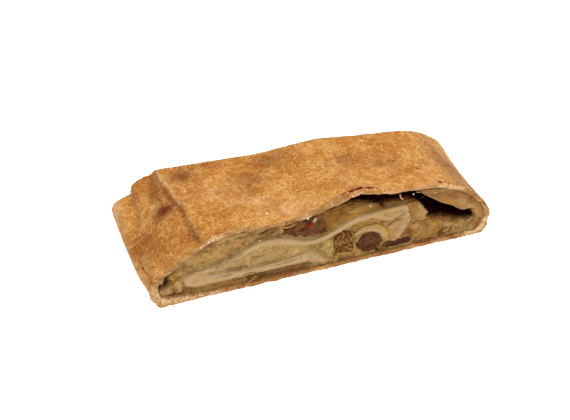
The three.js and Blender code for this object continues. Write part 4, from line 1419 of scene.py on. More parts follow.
def beside(points, face):
    """How near each point is to another piece's cut face: 1 next to it, 0 a few mm away."""
    gaps = np.array([face.find(place)[2] for place in flattened(points)])
    return fading(gaps, DOUGH_FADE) * step(points[:, 1] - NEAR_CUT, *TINT_DEPTH)


print("the dough tints its neighbours most within", DOUGH_FADE, "mm")

# %% Painting a soft piece
DOUGH_TINT = 0.6


def paint_inside(piece, stains, dough_face=None):
    """Paints what the Soaked group and the relief read. Only the named strokes, painted light too, reach this
    piece.
    """
    points, facing = spots(piece)
    paint(piece, "rim", rim_of(points, facing))
    paint(piece, "cut_distance", from_cut(points))
    pushed = np.zeros(len(points))
    for name, marks in ALL_STROKES.items():
        cover = strokes(points, marks) * (name in stains)
        if name == "cream" and dough_face:
            cover = np.maximum(cover, DOUGH_TINT * beside(points, dough_face))
        paint(piece, name, cover)
        pushed += cover * PUSH[name]
    paint(piece, "pushed", pushed)
    paint(piece, "toward", np.where(points[:, 1] < 0, -1.0, 1.0))


print("a piece's numbers:", ["rim", "cut_distance", *ALL_STAINS_AND_PAINTED_LIGHT, "pushed", "toward"])

# %% [markdown]
# One Geometry Nodes tree shapes all the soft pieces. A wide noise makes the lumps, a finer one the
# mush on them, and thin lines where a third noise crosses its middle become cracks. The tree stores
# how high the lumps are and where the cracks run, so that the colour follows the shape, and the
# stewed apple paints shade in the low places of its lumps.

# %% Lumps and cracks
SEED_SHIFT = 31.7
CRACK_SHIFT = (7.0, 3.0, 5.0)
CRACKED_PATCH, CRACKED_FROM = 8.0, (0.48, 0.6)
CRACK_WIDTH = 0.035
wires, given, result = group(
    "Soft relief",
    "GeometryNodeTree",
    [
        ("Geometry", GEOMETRY, None),
        ("Swell", FLOAT, 0.1),
        ("Lump Size", FLOAT, 6.0),
        ("Lump Depth", FLOAT, 0.8),
        ("Mush Size", FLOAT, 1.2),
        ("Mush Depth", FLOAT, 0.2),
        ("Crack Depth", FLOAT, 0.4),
        ("Proud", FLOAT, 0.0),
        ("Seed", FLOAT, 0.0),
        ("Material", MATERIAL, None),
    ],
    [("Geometry", GEOMETRY)],
)
spot = point_places(wires)
seeded = wires.vector("ADD", spot, wires.times(given["Seed"], SEED_SHIFT))
lump = wires.noise(seeded, given["Lump Size"], 2.0, 0.5, 0.7).outputs[0]
mush = wires.noise(seeded, given["Mush Size"], 3.0, 0.6).outputs[0]
elsewhere = wires.vector("ADD", seeded, CRACK_SHIFT)
crossing = wires.noise(elsewhere, given["Lump Size"], 3.0, 0.6, 0.5).outputs[0]
here_and_there = wires.ramp(wires.noise(seeded, CRACKED_PATCH, 1.0).outputs[0], *CRACKED_FROM)
crack = wires.times(wires.ridge(crossing, CRACK_WIDTH), here_and_there)
print(wires.tree.name, "has", len(wires.tree.nodes), "nodes so far")

# %% How far each point moves
SIDE_SHARES = (1.0, 0.0, 1.0)
LOAF_LENGTH = (0.0, 1.0, 0.0)
FRONT_REACH = (3.0, 0.8)


def swing(wires, value, reach):
    """Turns a noise into a rise and fall of reach mm."""
    return wires.times(wires.math("SUBTRACT", value, 0.5), wires.times(reach, 2.0))


rise = wires.total(swing(wires, lump, given["Lump Depth"]), swing(wires, mush, given["Mush Depth"]))
height = wires.math("SUBTRACT", rise, wires.times(crack, given["Crack Depth"]))
normal = wires.add("GeometryNodeInputNormal").outputs[0]
sideways = wires.scaled(wires.vector("MULTIPLY", normal, SIDE_SHARES), given["Swell"])
relief = wires.vector("ADD", sideways, wires.scaled(normal, height))
on_front = wires.ramp(stored(wires, "cut_distance"), *FRONT_REACH)
pushed = wires.total(stored(wires, "pushed"), wires.times(given["Proud"], on_front))
outward = wires.scaled(LOAF_LENGTH, wires.times(pushed, stored(wires, "toward")))
offset = wires.scaled(wires.vector("ADD", relief, outward), MM)
print(wires.tree.name, "has", len(wires.tree.nodes), "nodes so far")

# %% The relief tree of soft pieces


def keep(wires, geometry, name, value):
    """Stores a number on the geometry, for the material to read."""
    inputs = {"Geometry": geometry, "Name": name, "Value": value}
    return wires.add("GeometryNodeStoreNamedAttribute", inputs, data_type="FLOAT").outputs[0]


with_crack = keep(wires, given["Geometry"], "crack", crack)
with_lump = keep(wires, with_crack, "lump", lump)
moved = wires.add("GeometryNodeSetPosition", {"Geometry": with_lump, "Offset": offset})
SOFT_RELIEF = ended(wires, moved.outputs[0], given, result)

# %% One soft piece
inside = []


def soft_piece(
    node, name, finish, slot, net, seed, rounding=0.2, stains=ALL_STAINS_AND_PAINTED_LIGHT, dough_face=None, **relief
):
    """Replaces one measured solid inside the loaf with a soft, painted and finished piece."""
    piece = soft_copy(node, name, net)
    squared(piece, rounding)
    paint_inside(piece, stains, dough_face)
    shaped(piece, SOFT_RELIEF, seed=float(seed), material=finish, **relief)
    in_frame(piece, node)
    inside.append(piece)
    return piece


print("pieces inside so far:", len(inside))

# %% [markdown]
# ## The rolled dough
#
# Inside, the sheet was never dry enough to brown. It is a soft pale band, smooth where it was cut,
# a little glassy and stained by the apple juice along its rims. The relief is low and wide, and light
# goes a little way into it, so the material lets some through.

# %% The dough's finish
JUICE = colour(166, 120, 62)
DARK_JUICE = colour(140, 94, 50)
DOUGH_PATCH = 5.0
DOUGH_STRETCH = (0.5, 1.0, 1.3)
DOUGH_PORE = 1.6
PORE_SHARE, PORE_DARK, PORE_DEPTH = 0.12, 0.35, 0.6
DOUGH_GLOSS = (0.35, 0.65, 0.55, 0.38)
SOFT_SHINE = {"Specular IOR Level": 0.06}
DOUGH_BUMP = 0.22
DOUGH_TINTS = {
    "pale_dough": (colour(204, 170, 126), colour(168, 130, 80), 0.85),
    "tan_dough": (colour(158, 108, 58), colour(126, 80, 36), 0.2),
}


def dough_finish(name, light, dark, rim_strength):
    """Soft moist dough: two mottled tints with the stains of the loaf."""
    material, wires, shader = new_material(name)
    mm = places_in_mm(wires)
    body = mottled(wires, wires.vector("MULTIPLY", mm, DOUGH_STRETCH), DOUGH_PATCH, light, dark, 1.4)
    pores = use_group(wires, PORES, place=mm, size=DOUGH_PORE, share=PORE_SHARE)["Mask"]
    pitted = wires.mix(wires.times(pores, PORE_DARK), body["Colour"], DARK_JUICE)
    wires.join(soaked_with_painted_light(wires, mm, pitted, JUICE, rim_strength), shader["Base Color"])
    wires.join(wires.ramp(body["Height"], *DOUGH_GLOSS), shader["Roughness"])
    heights = wires.math("SUBTRACT", body["Height"], wires.times(pores, PORE_DEPTH))
    wires.join(bump(wires, heights, DOUGH_BUMP, 0.7), shader["Normal"])
    set_plain(shader, SOFT_SHINE)
    glow(shader, 0.35, 1.6, (1.0, 0.6, 0.3))
    return material


dough = {name: dough_finish(name, *tints) for name, tints in DOUGH_TINTS.items()}
print("dough finishes:", list(dough))

# %% The dough pieces
DOUGH_NET = 0.45
DOUGH_RELIEF = {
    "rounding": 0.3,
    "swell": 0.3,
    "lump_size": 6.0,
    "lump_depth": 0.35,
    "mush_size": 2.0,
    "mush_depth": 0.15,
    "crack_depth": 0.0,
    "proud": 0.2,
}
sheet = soft_piece("rolled_dough", "rolled_sheet", dough["pale_dough"], "dough", DOUGH_NET, 1, **DOUGH_RELIEF)
dough_face = cut_face_of(sheet)
soft_piece("side_dough", "side_sheet", dough["tan_dough"], "side_dough", DOUGH_NET, 2, **DOUGH_RELIEF)
tongue = soft_piece("dough_tongue", "torn_tongue", dough["pale_dough"], "dough", DOUGH_NET, 3, **DOUGH_RELIEF)

# %% [markdown]
# ## The stewed apple
#
# The filling is grated apple and crumbs, stewed soft in the oven: glassy yellow where the apple lies
# free and brown where the cinnamon and the juice have gathered. Seven finishes of one kind differ in
# their tints, and the one at the side has larger shreds with darker seams too. The one for the fold is
# the golden tint made lighter, to make up for the shade in the fold's recess: painted light. Fine
# fibres run through all of them. A table of tints and one function are shorter than seven materials by
# hand, and a change to the function then reaches them all.

# %% The stewed apple's finish
STEW_PATCH = 6.0
FIBRE_SIZE = 0.8
STEW_BUMP = 0.8
SHRED_STRETCH = (0.6, 1.0, 1.3)
PALER = 1.3
LOW_LUMPS = (0.6, 0.35, 0.0, 0.5)
PALE_SHREDS = (0.4, 0.9, 0.0)
PALE_FIBRES, DARK_FIBRES = (0.52, 0.7, 0.0, 0.5), (0.42, 0.3, 0.0, 0.5)
CRACK_DARK = 0.4
STEW_GLOSS = (0.35, 0.65, 0.26, 0.5)
SHRED_HEIGHT, SEAM_SINK = 0.35, 0.5


def wet_coat(wires, shader, pattern, start, end, most, roughness):
    """A film of juice where the pattern is high. Its own roughness is the same everywhere."""
    wires.join(wires.ramp(pattern, start, end, 0.0, most), shader["Coat Weight"])
    set_plain(shader, {"Coat Roughness": roughness})


def stewed_finish(name, light, dark, deep, juice, shred_size=1.2, shred_share=0.4, seam_share=0.45):
    """Wet soft fruit: mottled, with painted shade in its hollows, and deep brown in its cracks."""
    material, wires, shader = new_material(name)
    mm = places_in_mm(wires)
    body = mottled(wires, mm, STEW_PATCH, light, dark, 1.0)
    pale = tuple(min(1.0, PALER * channel) for channel in light[:3]) + (1.0,)
    long_mm = wires.vector("MULTIPLY", mm, SHRED_STRETCH)
    # The low places of the lumps are painted darker: painted shade.
    low = wires.ramp(painted(wires, "lump"), *LOW_LUMPS)
    shaded = wires.mix(low, body["Colour"], dark)
    shreds = use_group(wires, SHREDS, place=long_mm, size=shred_size)
    shredded = wires.mix(wires.ramp(shreds["Paleness"], *PALE_SHREDS, shred_share), shaded, pale)
    fibres = wires.noise(long_mm, FIBRE_SIZE, 4.0, 0.75, 1.0).outputs[0]
    streaked = wires.mix(wires.ramp(fibres, *PALE_FIBRES), shredded, light)
    low_fibres = wires.ramp(fibres, *DARK_FIBRES)
    dips = wires.math("MAXIMUM", low_fibres, wires.times(shreds["Seam"], seam_share))
    mushy = wires.mix(dips, streaked, deep)
    cracked = wires.mix(wires.times(painted(wires, "crack"), CRACK_DARK), mushy, deep)
    wires.join(soaked_with_painted_light(wires, mm, cracked, juice, 0.5), shader["Base Color"])
    wires.join(wires.ramp(fibres, *STEW_GLOSS), shader["Roughness"])
    heights = wires.total(body["Height"], fibres, wires.times(shreds["Paleness"], SHRED_HEIGHT))
    sunk = wires.math("SUBTRACT", heights, wires.times(shreds["Seam"], SEAM_SINK))
    wires.join(bump(wires, sunk, STEW_BUMP), shader["Normal"])
    set_plain(shader, SOFT_SHINE)
    wet_coat(wires, shader, fibres, 0.56, 0.7, 0.4, 0.12)
    glow(shader, 0.25, 1.5, (1.0, 0.55, 0.2))
    return material


print("layers of stew: mottling, shreds, fibres, cracks, stains")

# %% The seven tints of stewed apple
APPLE_DEEP = colour(98, 58, 18)
STEW_TINTS = {
    "golden_stew": (colour(212, 170, 102), colour(176, 132, 62), APPLE_DEEP, JUICE),
    "tan_stew": (colour(218, 174, 110), colour(182, 136, 74), APPLE_DEEP, JUICE),
    # The golden tint made lighter for the fold, to make up for the shade in its recess: painted light.
    "bright_stew": (colour(230, 188, 118), colour(196, 152, 82), APPLE_DEEP, JUICE),
    "brown_stew": (colour(176, 132, 80), colour(132, 90, 48), colour(78, 44, 18), DARK_JUICE),
    "amber_stew": (colour(184, 130, 56), colour(140, 92, 34), colour(72, 38, 12), DARK_JUICE),
    "cinnamon_stew": (colour(150, 98, 56), colour(100, 58, 28), colour(52, 22, 8), DARK_JUICE),
    "side_stew": (colour(208, 158, 88), colour(146, 96, 40), colour(84, 46, 16), DARK_JUICE),
}
COARSER = {"side_stew": {"shred_size": 2.4, "shred_share": 0.7, "seam_share": 0.95}}
stew = {name: stewed_finish(name, *tints, **COARSER.get(name, {})) for name, tints in STEW_TINTS.items()}
print("stew finishes:", list(stew))

# %% The stewed apple's pieces
STEW_NET = 0.5
FIRST_STEW_SEED = 5
STEW_PIECES = [
    ("filling_top", "stewed_apple_top", "tan_stew", "filling", 4.5, 1.0),
    ("filling_cinnamon", "cinnamon_apple", "cinnamon_stew", "cinnamon", 3.5, 1.0),
    ("filling_crown", "stewed_apple_crown", "amber_stew", "filling", 4.5, 1.0),
    ("filling_fold", "stewed_apple_fold", "bright_stew", "filling", 4.0, 0.9),
    ("filling_base", "stewed_apple_base", "brown_stew", "filling", 4.5, 0.9),
    ("filling_core", "stewed_apple_core", "golden_stew", "filling", 4.0, 1.2),
    ("filling_side", "stewed_apple_side", "side_stew", "filling", 3.5, 0.9),
    ("filling_rear", "stewed_apple_rear", "amber_stew", "filling", 5.0, 0.9),
]
STEW_RELIEF = {"swell": 0.25, "mush_size": 1.6, "mush_depth": 0.6, "crack_depth": 0.2}
for seed, (node, name, finish, slot, size, depth) in enumerate(STEW_PIECES, FIRST_STEW_SEED):
    relief = {"lump_size": size, "lump_depth": depth, **STEW_RELIEF}
    if slot == "cinnamon":
        relief["stains"] = DARK_ONLY
    else:
        relief["dough_face"] = dough_face
    soft_piece(node, name, stew[finish], slot, STEW_NET, seed, **relief)

# %% [markdown]
# ## Raisins and apple pieces
#
# Raisins swell in the oven and go dull brown, with soft long wrinkles. The apple pieces are pale and
# fibrous, and two of them still have a strip of green-yellow peel, which is painted on along a line.

# %% Raisin finishes
SKIN_PATCHES, SKIN_FOLD, SKIN_RELIEF = 6.0, 1.3, 0.6
FOLD_STRETCH = (1.0, 1.0, 0.45)
DARK_FOLDS, FOLD_GLOSS = (0.45, 0.7, 0.0, 0.5), (0.3, 0.7, 0.34, 0.55)
RAISIN_TINTS = {
    "brown_raisin": (colour(118, 70, 38), colour(62, 30, 14)),
    "dark_raisin": (colour(84, 42, 30), colour(50, 20, 18)),
    "soaked_raisin": (colour(196, 156, 106), colour(164, 122, 76)),
}


def raisin_finish(name, light, dark):
    """Dark wrinkled skin with a dull wet shine."""
    material, wires, shader = new_material(name)
    mm = places_in_mm(wires)
    skin = mottled(wires, mm, SKIN_PATCHES, light, dark, 1.2)
    long_mm = wires.vector("MULTIPLY", mm, FOLD_STRETCH)
    folded = wires.noise(long_mm, SKIN_FOLD, 3.0, 0.6, 1.2).outputs[0]
    darker = wires.mix(wires.ramp(folded, *DARK_FOLDS), skin["Colour"], dark)
    wires.join(soaked_with_painted_light(wires, mm, darker, DARK_JUICE, 0.25), shader["Base Color"])
    wires.join(wires.ramp(folded, *FOLD_GLOSS), shader["Roughness"])
    wires.join(bump(wires, folded, SKIN_RELIEF, 0.9), shader["Normal"])
    set_plain(shader, SOFT_SHINE)
    wet_coat(wires, shader, folded, 0.55, 0.7, 0.2, 0.2)
    glow(shader, 0.15, 1.0, (1.0, 0.4, 0.2))
    return material


fruit = {name: raisin_finish(name, *tints) for name, tints in RAISIN_TINTS.items()}
print("raisin finishes:", list(fruit))

# %% Apple finishes
FLESH_PATCHES, FLESH_FIBRE, FLESH_RELIEF = 5.0, 0.7, 0.3
FLESH_STRETCH = (1.0, 1.0, 0.3)
FLESH_STREAKS, FLESH_GLOSS = (0.5, 0.75, 0.0, 0.6), (0.3, 0.7, 0.25, 0.45)
PEEL_FROM = (0.3, 0.7)
PEEL_OLIVE = colour(146, 116, 22)
PEEL_YELLOW = colour(196, 164, 48)
APPLE_TINTS = {
    "green_apple": (colour(202, 178, 108), colour(128, 98, 40), PEEL_OLIVE),
    "pale_apple": (colour(186, 148, 92), colour(160, 118, 62), PEEL_YELLOW),
    "amber_apple": (colour(184, 136, 66), colour(140, 94, 36), PEEL_YELLOW),
}


def apple_finish(name, light, dark, peel):
    """Pale fibrous flesh, and peel where the number "peel" is painted."""
    material, wires, shader = new_material(name)
    mm = places_in_mm(wires)
    flesh = mottled(wires, mm, FLESH_PATCHES, light, dark, 1.2)
    long_mm = wires.vector("MULTIPLY", mm, FLESH_STRETCH)
    fibres = wires.noise(long_mm, FLESH_FIBRE, 3.0, 0.6, 0.8).outputs[0]
    streaked = wires.mix(wires.ramp(fibres, *FLESH_STREAKS), flesh["Colour"], dark)
    peeled = wires.mix(wires.ramp(painted(wires, "peel"), *PEEL_FROM), streaked, peel)
    wires.join(soaked_with_painted_light(wires, mm, peeled, JUICE, 0.3), shader["Base Color"])
    wires.join(wires.ramp(fibres, *FLESH_GLOSS), shader["Roughness"])
    wires.join(bump(wires, fibres, FLESH_RELIEF, 0.8), shader["Normal"])
    set_plain(shader, {"Specular IOR Level": 0.08})
    wet_coat(wires, shader, fibres, 0.52, 0.66, 0.4, 0.12)
    glow(shader, 0.35, 1.8, (1.0, 0.7, 0.3))
    return material


fruit.update({name: apple_finish(name, *tints) for name, tints in APPLE_TINTS.items()})
print("fruit finishes:", list(fruit))

# %% Fruit pieces
FRUIT_NET = 0.36
FIRST_FRUIT_SEED = 20
PEEL_EDGE = (0.9, 0.4)
CHUNK_PEEL = [(-5.0, 11.6), (-3.0, 9.0), (0, 5.6), (1.6, 3.8)]
ARC_PEEL = [(20.4, 14.4), (22.5, 12), (24, 9), (24.9, 6.4)]
PEEL = {"apple_chunk": CHUNK_PEEL, "apple_peeled_arc": ARC_PEEL}
FRUIT_PIECES = [
    ("raisin_tall", "tall_raisin", "brown_raisin", "raisin", 0.25),
    ("raisin_flat", "flat_raisin", "dark_raisin", "raisin", 0.25),
    ("raisin_end", "end_raisin", "soaked_raisin", "raisin", 0.2),
    ("raisin_far_high", "high_raisin", "dark_raisin", "raisin", 0.25),
    ("raisin_far_low", "low_raisin", "brown_raisin", "raisin", 0.25),
    ("apple_end", "end_apple", "amber_apple", "apple", 0.15),
    ("apple_far", "far_apple", "amber_apple", "apple", 0.2),
    ("apple_chunk", "peeled_chunk", "green_apple", "apple", 0.3),
    ("apple_peeled_arc", "curved_slice", "pale_apple", "apple", 0.15),
    ("apple_flap", "thin_slice", "amber_apple", "apple", 0.2),
]
FRUIT_RELIEF = {"swell": 0.3, "lump_size": 3.0, "mush_size": 1.2, "crack_depth": 0.2}
for seed, (node, name, finish, slot, depth) in enumerate(FRUIT_PIECES, FIRST_FRUIT_SEED):
    relief = {"lump_depth": depth, "mush_depth": depth, **FRUIT_RELIEF}
    if slot == "raisin":
        relief["stains"] = DARK_ONLY
    piece = soft_piece(node, name, fruit[finish], slot, FRUIT_NET, seed, **relief)
    if node in PEEL:
        across, _, up = spots(piece)[0].T
        paint(piece, "peel", step(from_line(across, up, PEEL[node]), *PEEL_EDGE))

# %% [markdown]
# ## The juice in the seams
#
# Apple juice sets to a soft gel in the oven and fills the seams between the pieces, so that no dark
# gaps show at the cut. It is made from the pieces themselves: all but the torn tongue are swollen
# sideways together until the gaps close, rebuilt as one skin, and drawn back in. Where a gap has closed
# there is nothing to draw back to, so the gel stays in it, just behind the cut. Behind the bottom lip
# it comes further forward, because the lip does too, and no gap may show above the lip.

# %% All pieces swollen together
GEL_NET = 0.6
GEL_REACH = 0.55
SIDEWAYS = np.array([1.0, 0.0, 1.0])
LENGTHWISE = np.array([0.0, 1.0, 0.0])
together = bmesh.new()
for piece in inside:
    if piece is not tongue:
        together.from_mesh(piece.data)
gel_mesh = bpy.data.meshes.new("juice_gel")
together.to_mesh(gel_mesh)
together.free()
gel = linked("juice_gel", gel_mesh)
points, facing = spots(gel)
moved_to(gel, points + facing * SIDEWAYS * GEL_REACH)
fine_net(gel, GEL_NET, 2)
print("points of the swollen skin:", len(gel.data.vertices))

# %% The gel drawn back
GEL_SPARE = 0.4
BASE_SPARE = 0.6
GEL_SHRINK = 0.4
GEL_RECESS = 0.35
GEL_FORWARD = 0.7
FACE_DEPTH = (2.2, 0.8)
BASE_HEIGHT = (5, 2.5)
BEHIND_LIP = (3.2, 1.8)
points, facing = spots(gel)
at_face = step(from_cut(points), *FACE_DEPTH)[:, None]
spare = GEL_SPARE + BASE_SPARE * step(points[:, 2:], *BASE_HEIGHT)
kept = at_face * spare - (1 - at_face) * GEL_SHRINK
behind_lip = (step(points[:, 2], *BEHIND_LIP) * (points[:, 1] < 0))[:, None]
recess = GEL_RECESS - GEL_FORWARD * behind_lip
drawn_in = facing * SIDEWAYS * (GEL_REACH - kept) + facing * LENGTHWISE * recess
moved_to(gel, points - drawn_in)
print("points behind the lip:", int((behind_lip > 0).sum()))

# %% The gel's relief and finish
GEL_SEED = 60.0
GEL_RELIEF = {"swell": 0.0, "lump_size": 4.0, "lump_depth": 0.05, "mush_size": 1.6, "mush_depth": 0.1}
paint_inside(gel, ALL_STAINS_AND_PAINTED_LIGHT, dough_face)
shaped(gel, SOFT_RELIEF, seed=GEL_SEED, crack_depth=0.0, material=stew["tan_stew"], **GEL_RELIEF)
in_frame(gel)

# %% [markdown]
# ## Crumbs and flakes
#
# The knife leaves loose crumbs, and thin flakes stand up along the torn crust. There are hundreds of
# them, so Geometry Nodes throw points on the painted part of a piece and put a small rough grain on
# each, turned and sized by chance from a fixed seed.

# %% The scatter tree
FULL_TURN = 6.28
GRAIN_BUMP = 0.7
wires, given, result = group(
    "Scattered crumbs",
    "GeometryNodeTree",
    [
        ("Geometry", GEOMETRY, None),
        ("Density", FLOAT, 1.0),
        ("Smallest", FLOAT, 0.3),
        ("Largest", FLOAT, 0.9),
        ("Stretch", VECTOR, (1.0, 0.8, 0.6)),
        ("Roughness", FLOAT, 0.4),
        ("Seed", "NodeSocketInt", 1),
        ("Material", MATERIAL, None),
    ],
    [("Geometry", GEOMETRY)],
)
density = wires.times(given["Density"], wires.times(stored(wires, "scatter"), 1 / MM**2))
throw = {"Mesh": given["Geometry"], "Density": density, "Seed": given["Seed"]}
thrown = wires.add("GeometryNodeDistributePointsOnFaces", throw)
ball = wires.add("GeometryNodeMeshIcoSphere", {"Radius": 0.5 * MM, "Subdivisions": 2})
size_range = {2: given["Smallest"], 3: given["Largest"], 8: given["Seed"]}
size = wires.add("FunctionNodeRandomValue", size_range, data_type="FLOAT").outputs[1]
turn_range = {0: (0.0, 0.0, 0.0), 1: (FULL_TURN, FULL_TURN, FULL_TURN), 8: given["Seed"]}
turn = wires.add("FunctionNodeRandomValue", turn_range, data_type="FLOAT_VECTOR").outputs[0]
placed = {"Points": thrown.outputs["Points"], "Instance": ball.outputs["Mesh"], "Rotation": turn}
placed["Scale"] = wires.scaled(given["Stretch"], size)
instances = wires.add("GeometryNodeInstanceOnPoints", placed)
real = wires.add("GeometryNodeRealizeInstances", {0: instances.outputs[0]})
spot = point_places(wires)
bumps = wires.vector("SUBTRACT", wires.noise(spot, GRAIN_BUMP, 2.0).outputs[1], NOISE_MIDDLE)
offset = wires.scaled(bumps, wires.times(given["Roughness"], MM))
rough = wires.add("GeometryNodeSetPosition", {"Geometry": real.outputs[0], "Offset": offset})
SCATTER = ended(wires, rough.outputs[0], given, result)

# %% Crumb finishes
CRUMB_TINTS = {
    "toasted_crumb": (colour(170, 118, 52), colour(100, 58, 22)),
    "creamy_flake": (colour(238, 206, 154), colour(176, 120, 60)),
    "browned_flake": (colour(196, 122, 48), colour(138, 72, 22)),
}
CRUMB_TINT_SIZE = 2.0
CRUMB_BUMP = 0.15


def crumb_finish(name, light, dark):
    """Dry crumbs, each grain a little lighter or darker."""
    material, wires, shader = new_material(name)
    grain = mottled(wires, places_in_mm(wires), CRUMB_TINT_SIZE, light, dark, 1.6)
    wires.join(grain["Colour"], shader["Base Color"])
    wires.join(wires.ramp(grain["Height"], 0.3, 0.7, 0.8, 0.6), shader["Roughness"])
    wires.join(bump(wires, grain["Height"], CRUMB_BUMP), shader["Normal"])
    set_plain(shader, {"Specular IOR Level": 0.25})
    return material


crumbs = {name: crumb_finish(name, *tints) for name, tints in CRUMB_TINTS.items()}
print("crumb finishes:", list(crumbs))

# %% The crumb cluster
CLUSTER_SEED = 40
CLUSTER_RELIEF = {
    "stains": DARK_ONLY,
    "swell": 0.0,
    "lump_size": 1.8,
    "lump_depth": 0.7,
    "mush_size": 0.9,
    "mush_depth": 0.3,
    "crack_depth": 0.3,
}
FRONT_FROM = (0.2, 0.8)
LOOSE_CRUMBS = {"density": 2.6, "smallest": 0.5, "largest": 1.2, "seed": 4}


def scattered(name, base, cover, finish, slot, **settings):
    """A new piece of many crumbs, thrown on another piece where cover is above 0."""
    piece = linked(name, base.data.copy())
    paint(piece, "scatter", cover)
    shaped(piece, SCATTER, material=crumbs[finish], **settings)
    in_frame(piece)


brown_crumb = crumbs["toasted_crumb"]
cluster = soft_piece(
    "crumb_cluster", "crumb_core", brown_crumb, "crumbs", FRUIT_NET, CLUSTER_SEED, **CLUSTER_RELIEF
)
front_share = step(-spots(cluster)[1][:, 1], *FRONT_FROM)
scattered("loose_crumbs", cluster, front_share, "toasted_crumb", "crumbs", **LOOSE_CRUMBS)

# %% The flakes of the crust
FLAT = {"stretch": (1.3, 0.7, 0.3), "roughness": 0.3}
PALE_FLAKES = {"density": 1.1, "smallest": 0.25, "largest": 0.95, "seed": 9, **FLAT}
BROWN_FLAKES = {"density": 0.5, "smallest": 0.25, "largest": 0.8, "seed": 12, **FLAT}
FLAKES_DEPTH, FLAKES_GAP = (0.6, 0.2), (1.3, 0.7)
MORE_FLAKES, FEWER_FLAKES = 1.8, 0.9
FEWER_FROM, SIDES_FROM = (0, 5), (3, 8)
points, facing = spots(crust)
at_cut = step(from_cut(points) - fray_of(points), *FLAKES_DEPTH)
near_skin = step(skin_gap(points, facing, outside, fray), *FLAKES_GAP)
flakier = 1 + MORE_FLAKES * strokes(points, FLAKY)
fewer_at_back = 1 - FEWER_FLAKES * step(points[:, 1], *FEWER_FROM)
band = at_cut * near_skin * flakier * fewer_at_back
on_sides = step(points[:, 2], *SIDES_FROM)
scattered("pale_flakes", crust, band * on_sides, "creamy_flake", "crust", **PALE_FLAKES)
scattered("brown_flakes", crust, band, "browned_flake", "crust", **BROWN_FLAKES)

# %% [markdown]
# ## Bits and strands
#
# A few small things stand out on the cut face: a chip of red peel, grains of sugar, and threads of
# dough and fruit that the knife has pulled. Several white grains sit where small glints show and stand
# in for them as painted highlights. The bits are small balls, squashed and roughened by the same relief
# as the filling. A strand starts as a line of points. Geometry Nodes make it a curve, let it wander a
# little and sweep a small round section along it.

# %% Bits
BIT_RELIEF = {
    "seed": 3.0,
    "swell": -0.06,
    "lump_size": 1.0,
    "lump_depth": 0.25,
    "mush_size": 0.5,
    "mush_depth": 0.12,
    "crack_depth": 0.0,
}


def bits(name, finish, places):
    """One piece of small rough bits. Each has its place, its three sizes and its lean in degrees."""
    balls = bmesh.new()
    for place, sizes, lean in places:
        spot = Matrix.Translation(Vector(place) * MM) @ Matrix.Rotation(math.radians(lean), 4, "Y")
        spot = spot @ Matrix.Diagonal((*(Vector(sizes) * MM), 1.0))
        bmesh.ops.create_icosphere(balls, subdivisions=2, radius=0.5, matrix=spot)
    mesh = bpy.data.meshes.new(name)
    balls.to_mesh(mesh)
    balls.free()
    piece = linked(name, mesh)
    shaped(piece, SOFT_RELIEF, material=finish, **BIT_RELIEF)
    in_frame(piece)


def plain_finish(name, tint, roughness, coat):
    """One tint, for a bit too small to show a pattern, with a wet coat."""
    material, _, shader = new_material(name)
    set_plain(shader, {"Base Color": tint, "Roughness": roughness})
    set_plain(shader, {"Specular IOR Level": 0.03, "Coat Weight": coat})
    return material


FACE = NEAR_CUT - 0.15
RED_CHIP = [((-6.2, FACE, 21.2), (2.7, 1.2, 1.9), -30)]
red_peel = plain_finish("red_peel", colour(134, 38, 6), 0.6, 0.0)
bits("red_peel_chip", red_peel, RED_CHIP)

# %% Sugar grains, painted glints and glassy bits
# Sugar grains; several sit where small glints show and stand in for them: painted highlights.
SUGAR_AND_GLINTS = [
    ((-24.5, FACE, 19.2), (0.9, 0.6, 0.5), 0),
    ((-44.3, FACE - 0.3, 11.7), (1.1, 0.6, 0.5), -35),
    ((-45.4, FACE - 0.3, 11.2), (0.5, 0.5, 0.4), 0),
    ((5.9, FACE, 15.0), (0.6, 0.6, 0.45), 20),
    ((31.5, FACE, 16.0), (1.1, 0.6, 0.6), 50),
    ((24.4, FACE, 17.6), (0.5, 0.4, 0.5), 0),
    ((41.6, FACE, 23.0), (0.8, 0.6, 0.5), -20),
    ((33.0, FACE, 24.5), (0.6, 0.6, 0.4), 10),
    ((16.5, FACE, 23.5), (0.9, 0.6, 0.7), 0),
    ((47.0, FACE, 8.5), (0.7, 0.5, 0.5), 0),
    ((56.0, FACE, 6.5), (1.5, 0.5, 0.35), -10),
    ((-6.8, FACE, 24.3), (0.9, 0.8, 1.0), 30),
    ((-16.8, -7.4, 23.0), (0.8, 0.8, 0.5), 0),
    ((-19.2, -18.0, 24.3), (0.9, 1.6, 0.5), 0),
    ((-42.6, FACE - 0.3, 23.6), (0.5, 0.7, 1.5), -25),
    ((-41.2, FACE - 0.3, 24.0), (0.5, 0.7, 1.4), -15),
    ((-45.4, FACE - 0.2, 22.0), (1.0, 0.7, 0.6), -30),
]
GLASSY_BITS = [
    ((-4.2, FACE, 22.8), (1.3, 1.0, 2.4), 35),
    ((35.0, FACE + 0.4, 24.6), (1.8, 0.8, 0.6), 15),
    ((-30.0, FACE, 3.4), (1.4, 0.8, 0.6), -35),
    ((-28.8, FACE, 1.8), (1.5, 0.8, 0.5), -40),
]
bits("sugar_grains", plain_finish("sugar_grain", colour(240, 220, 186), 0.4, 0.2), SUGAR_AND_GLINTS)
bits("glassy_bits", plain_finish("glassy_flesh", colour(190, 158, 118), 0.4, 0.2), GLASSY_BITS)

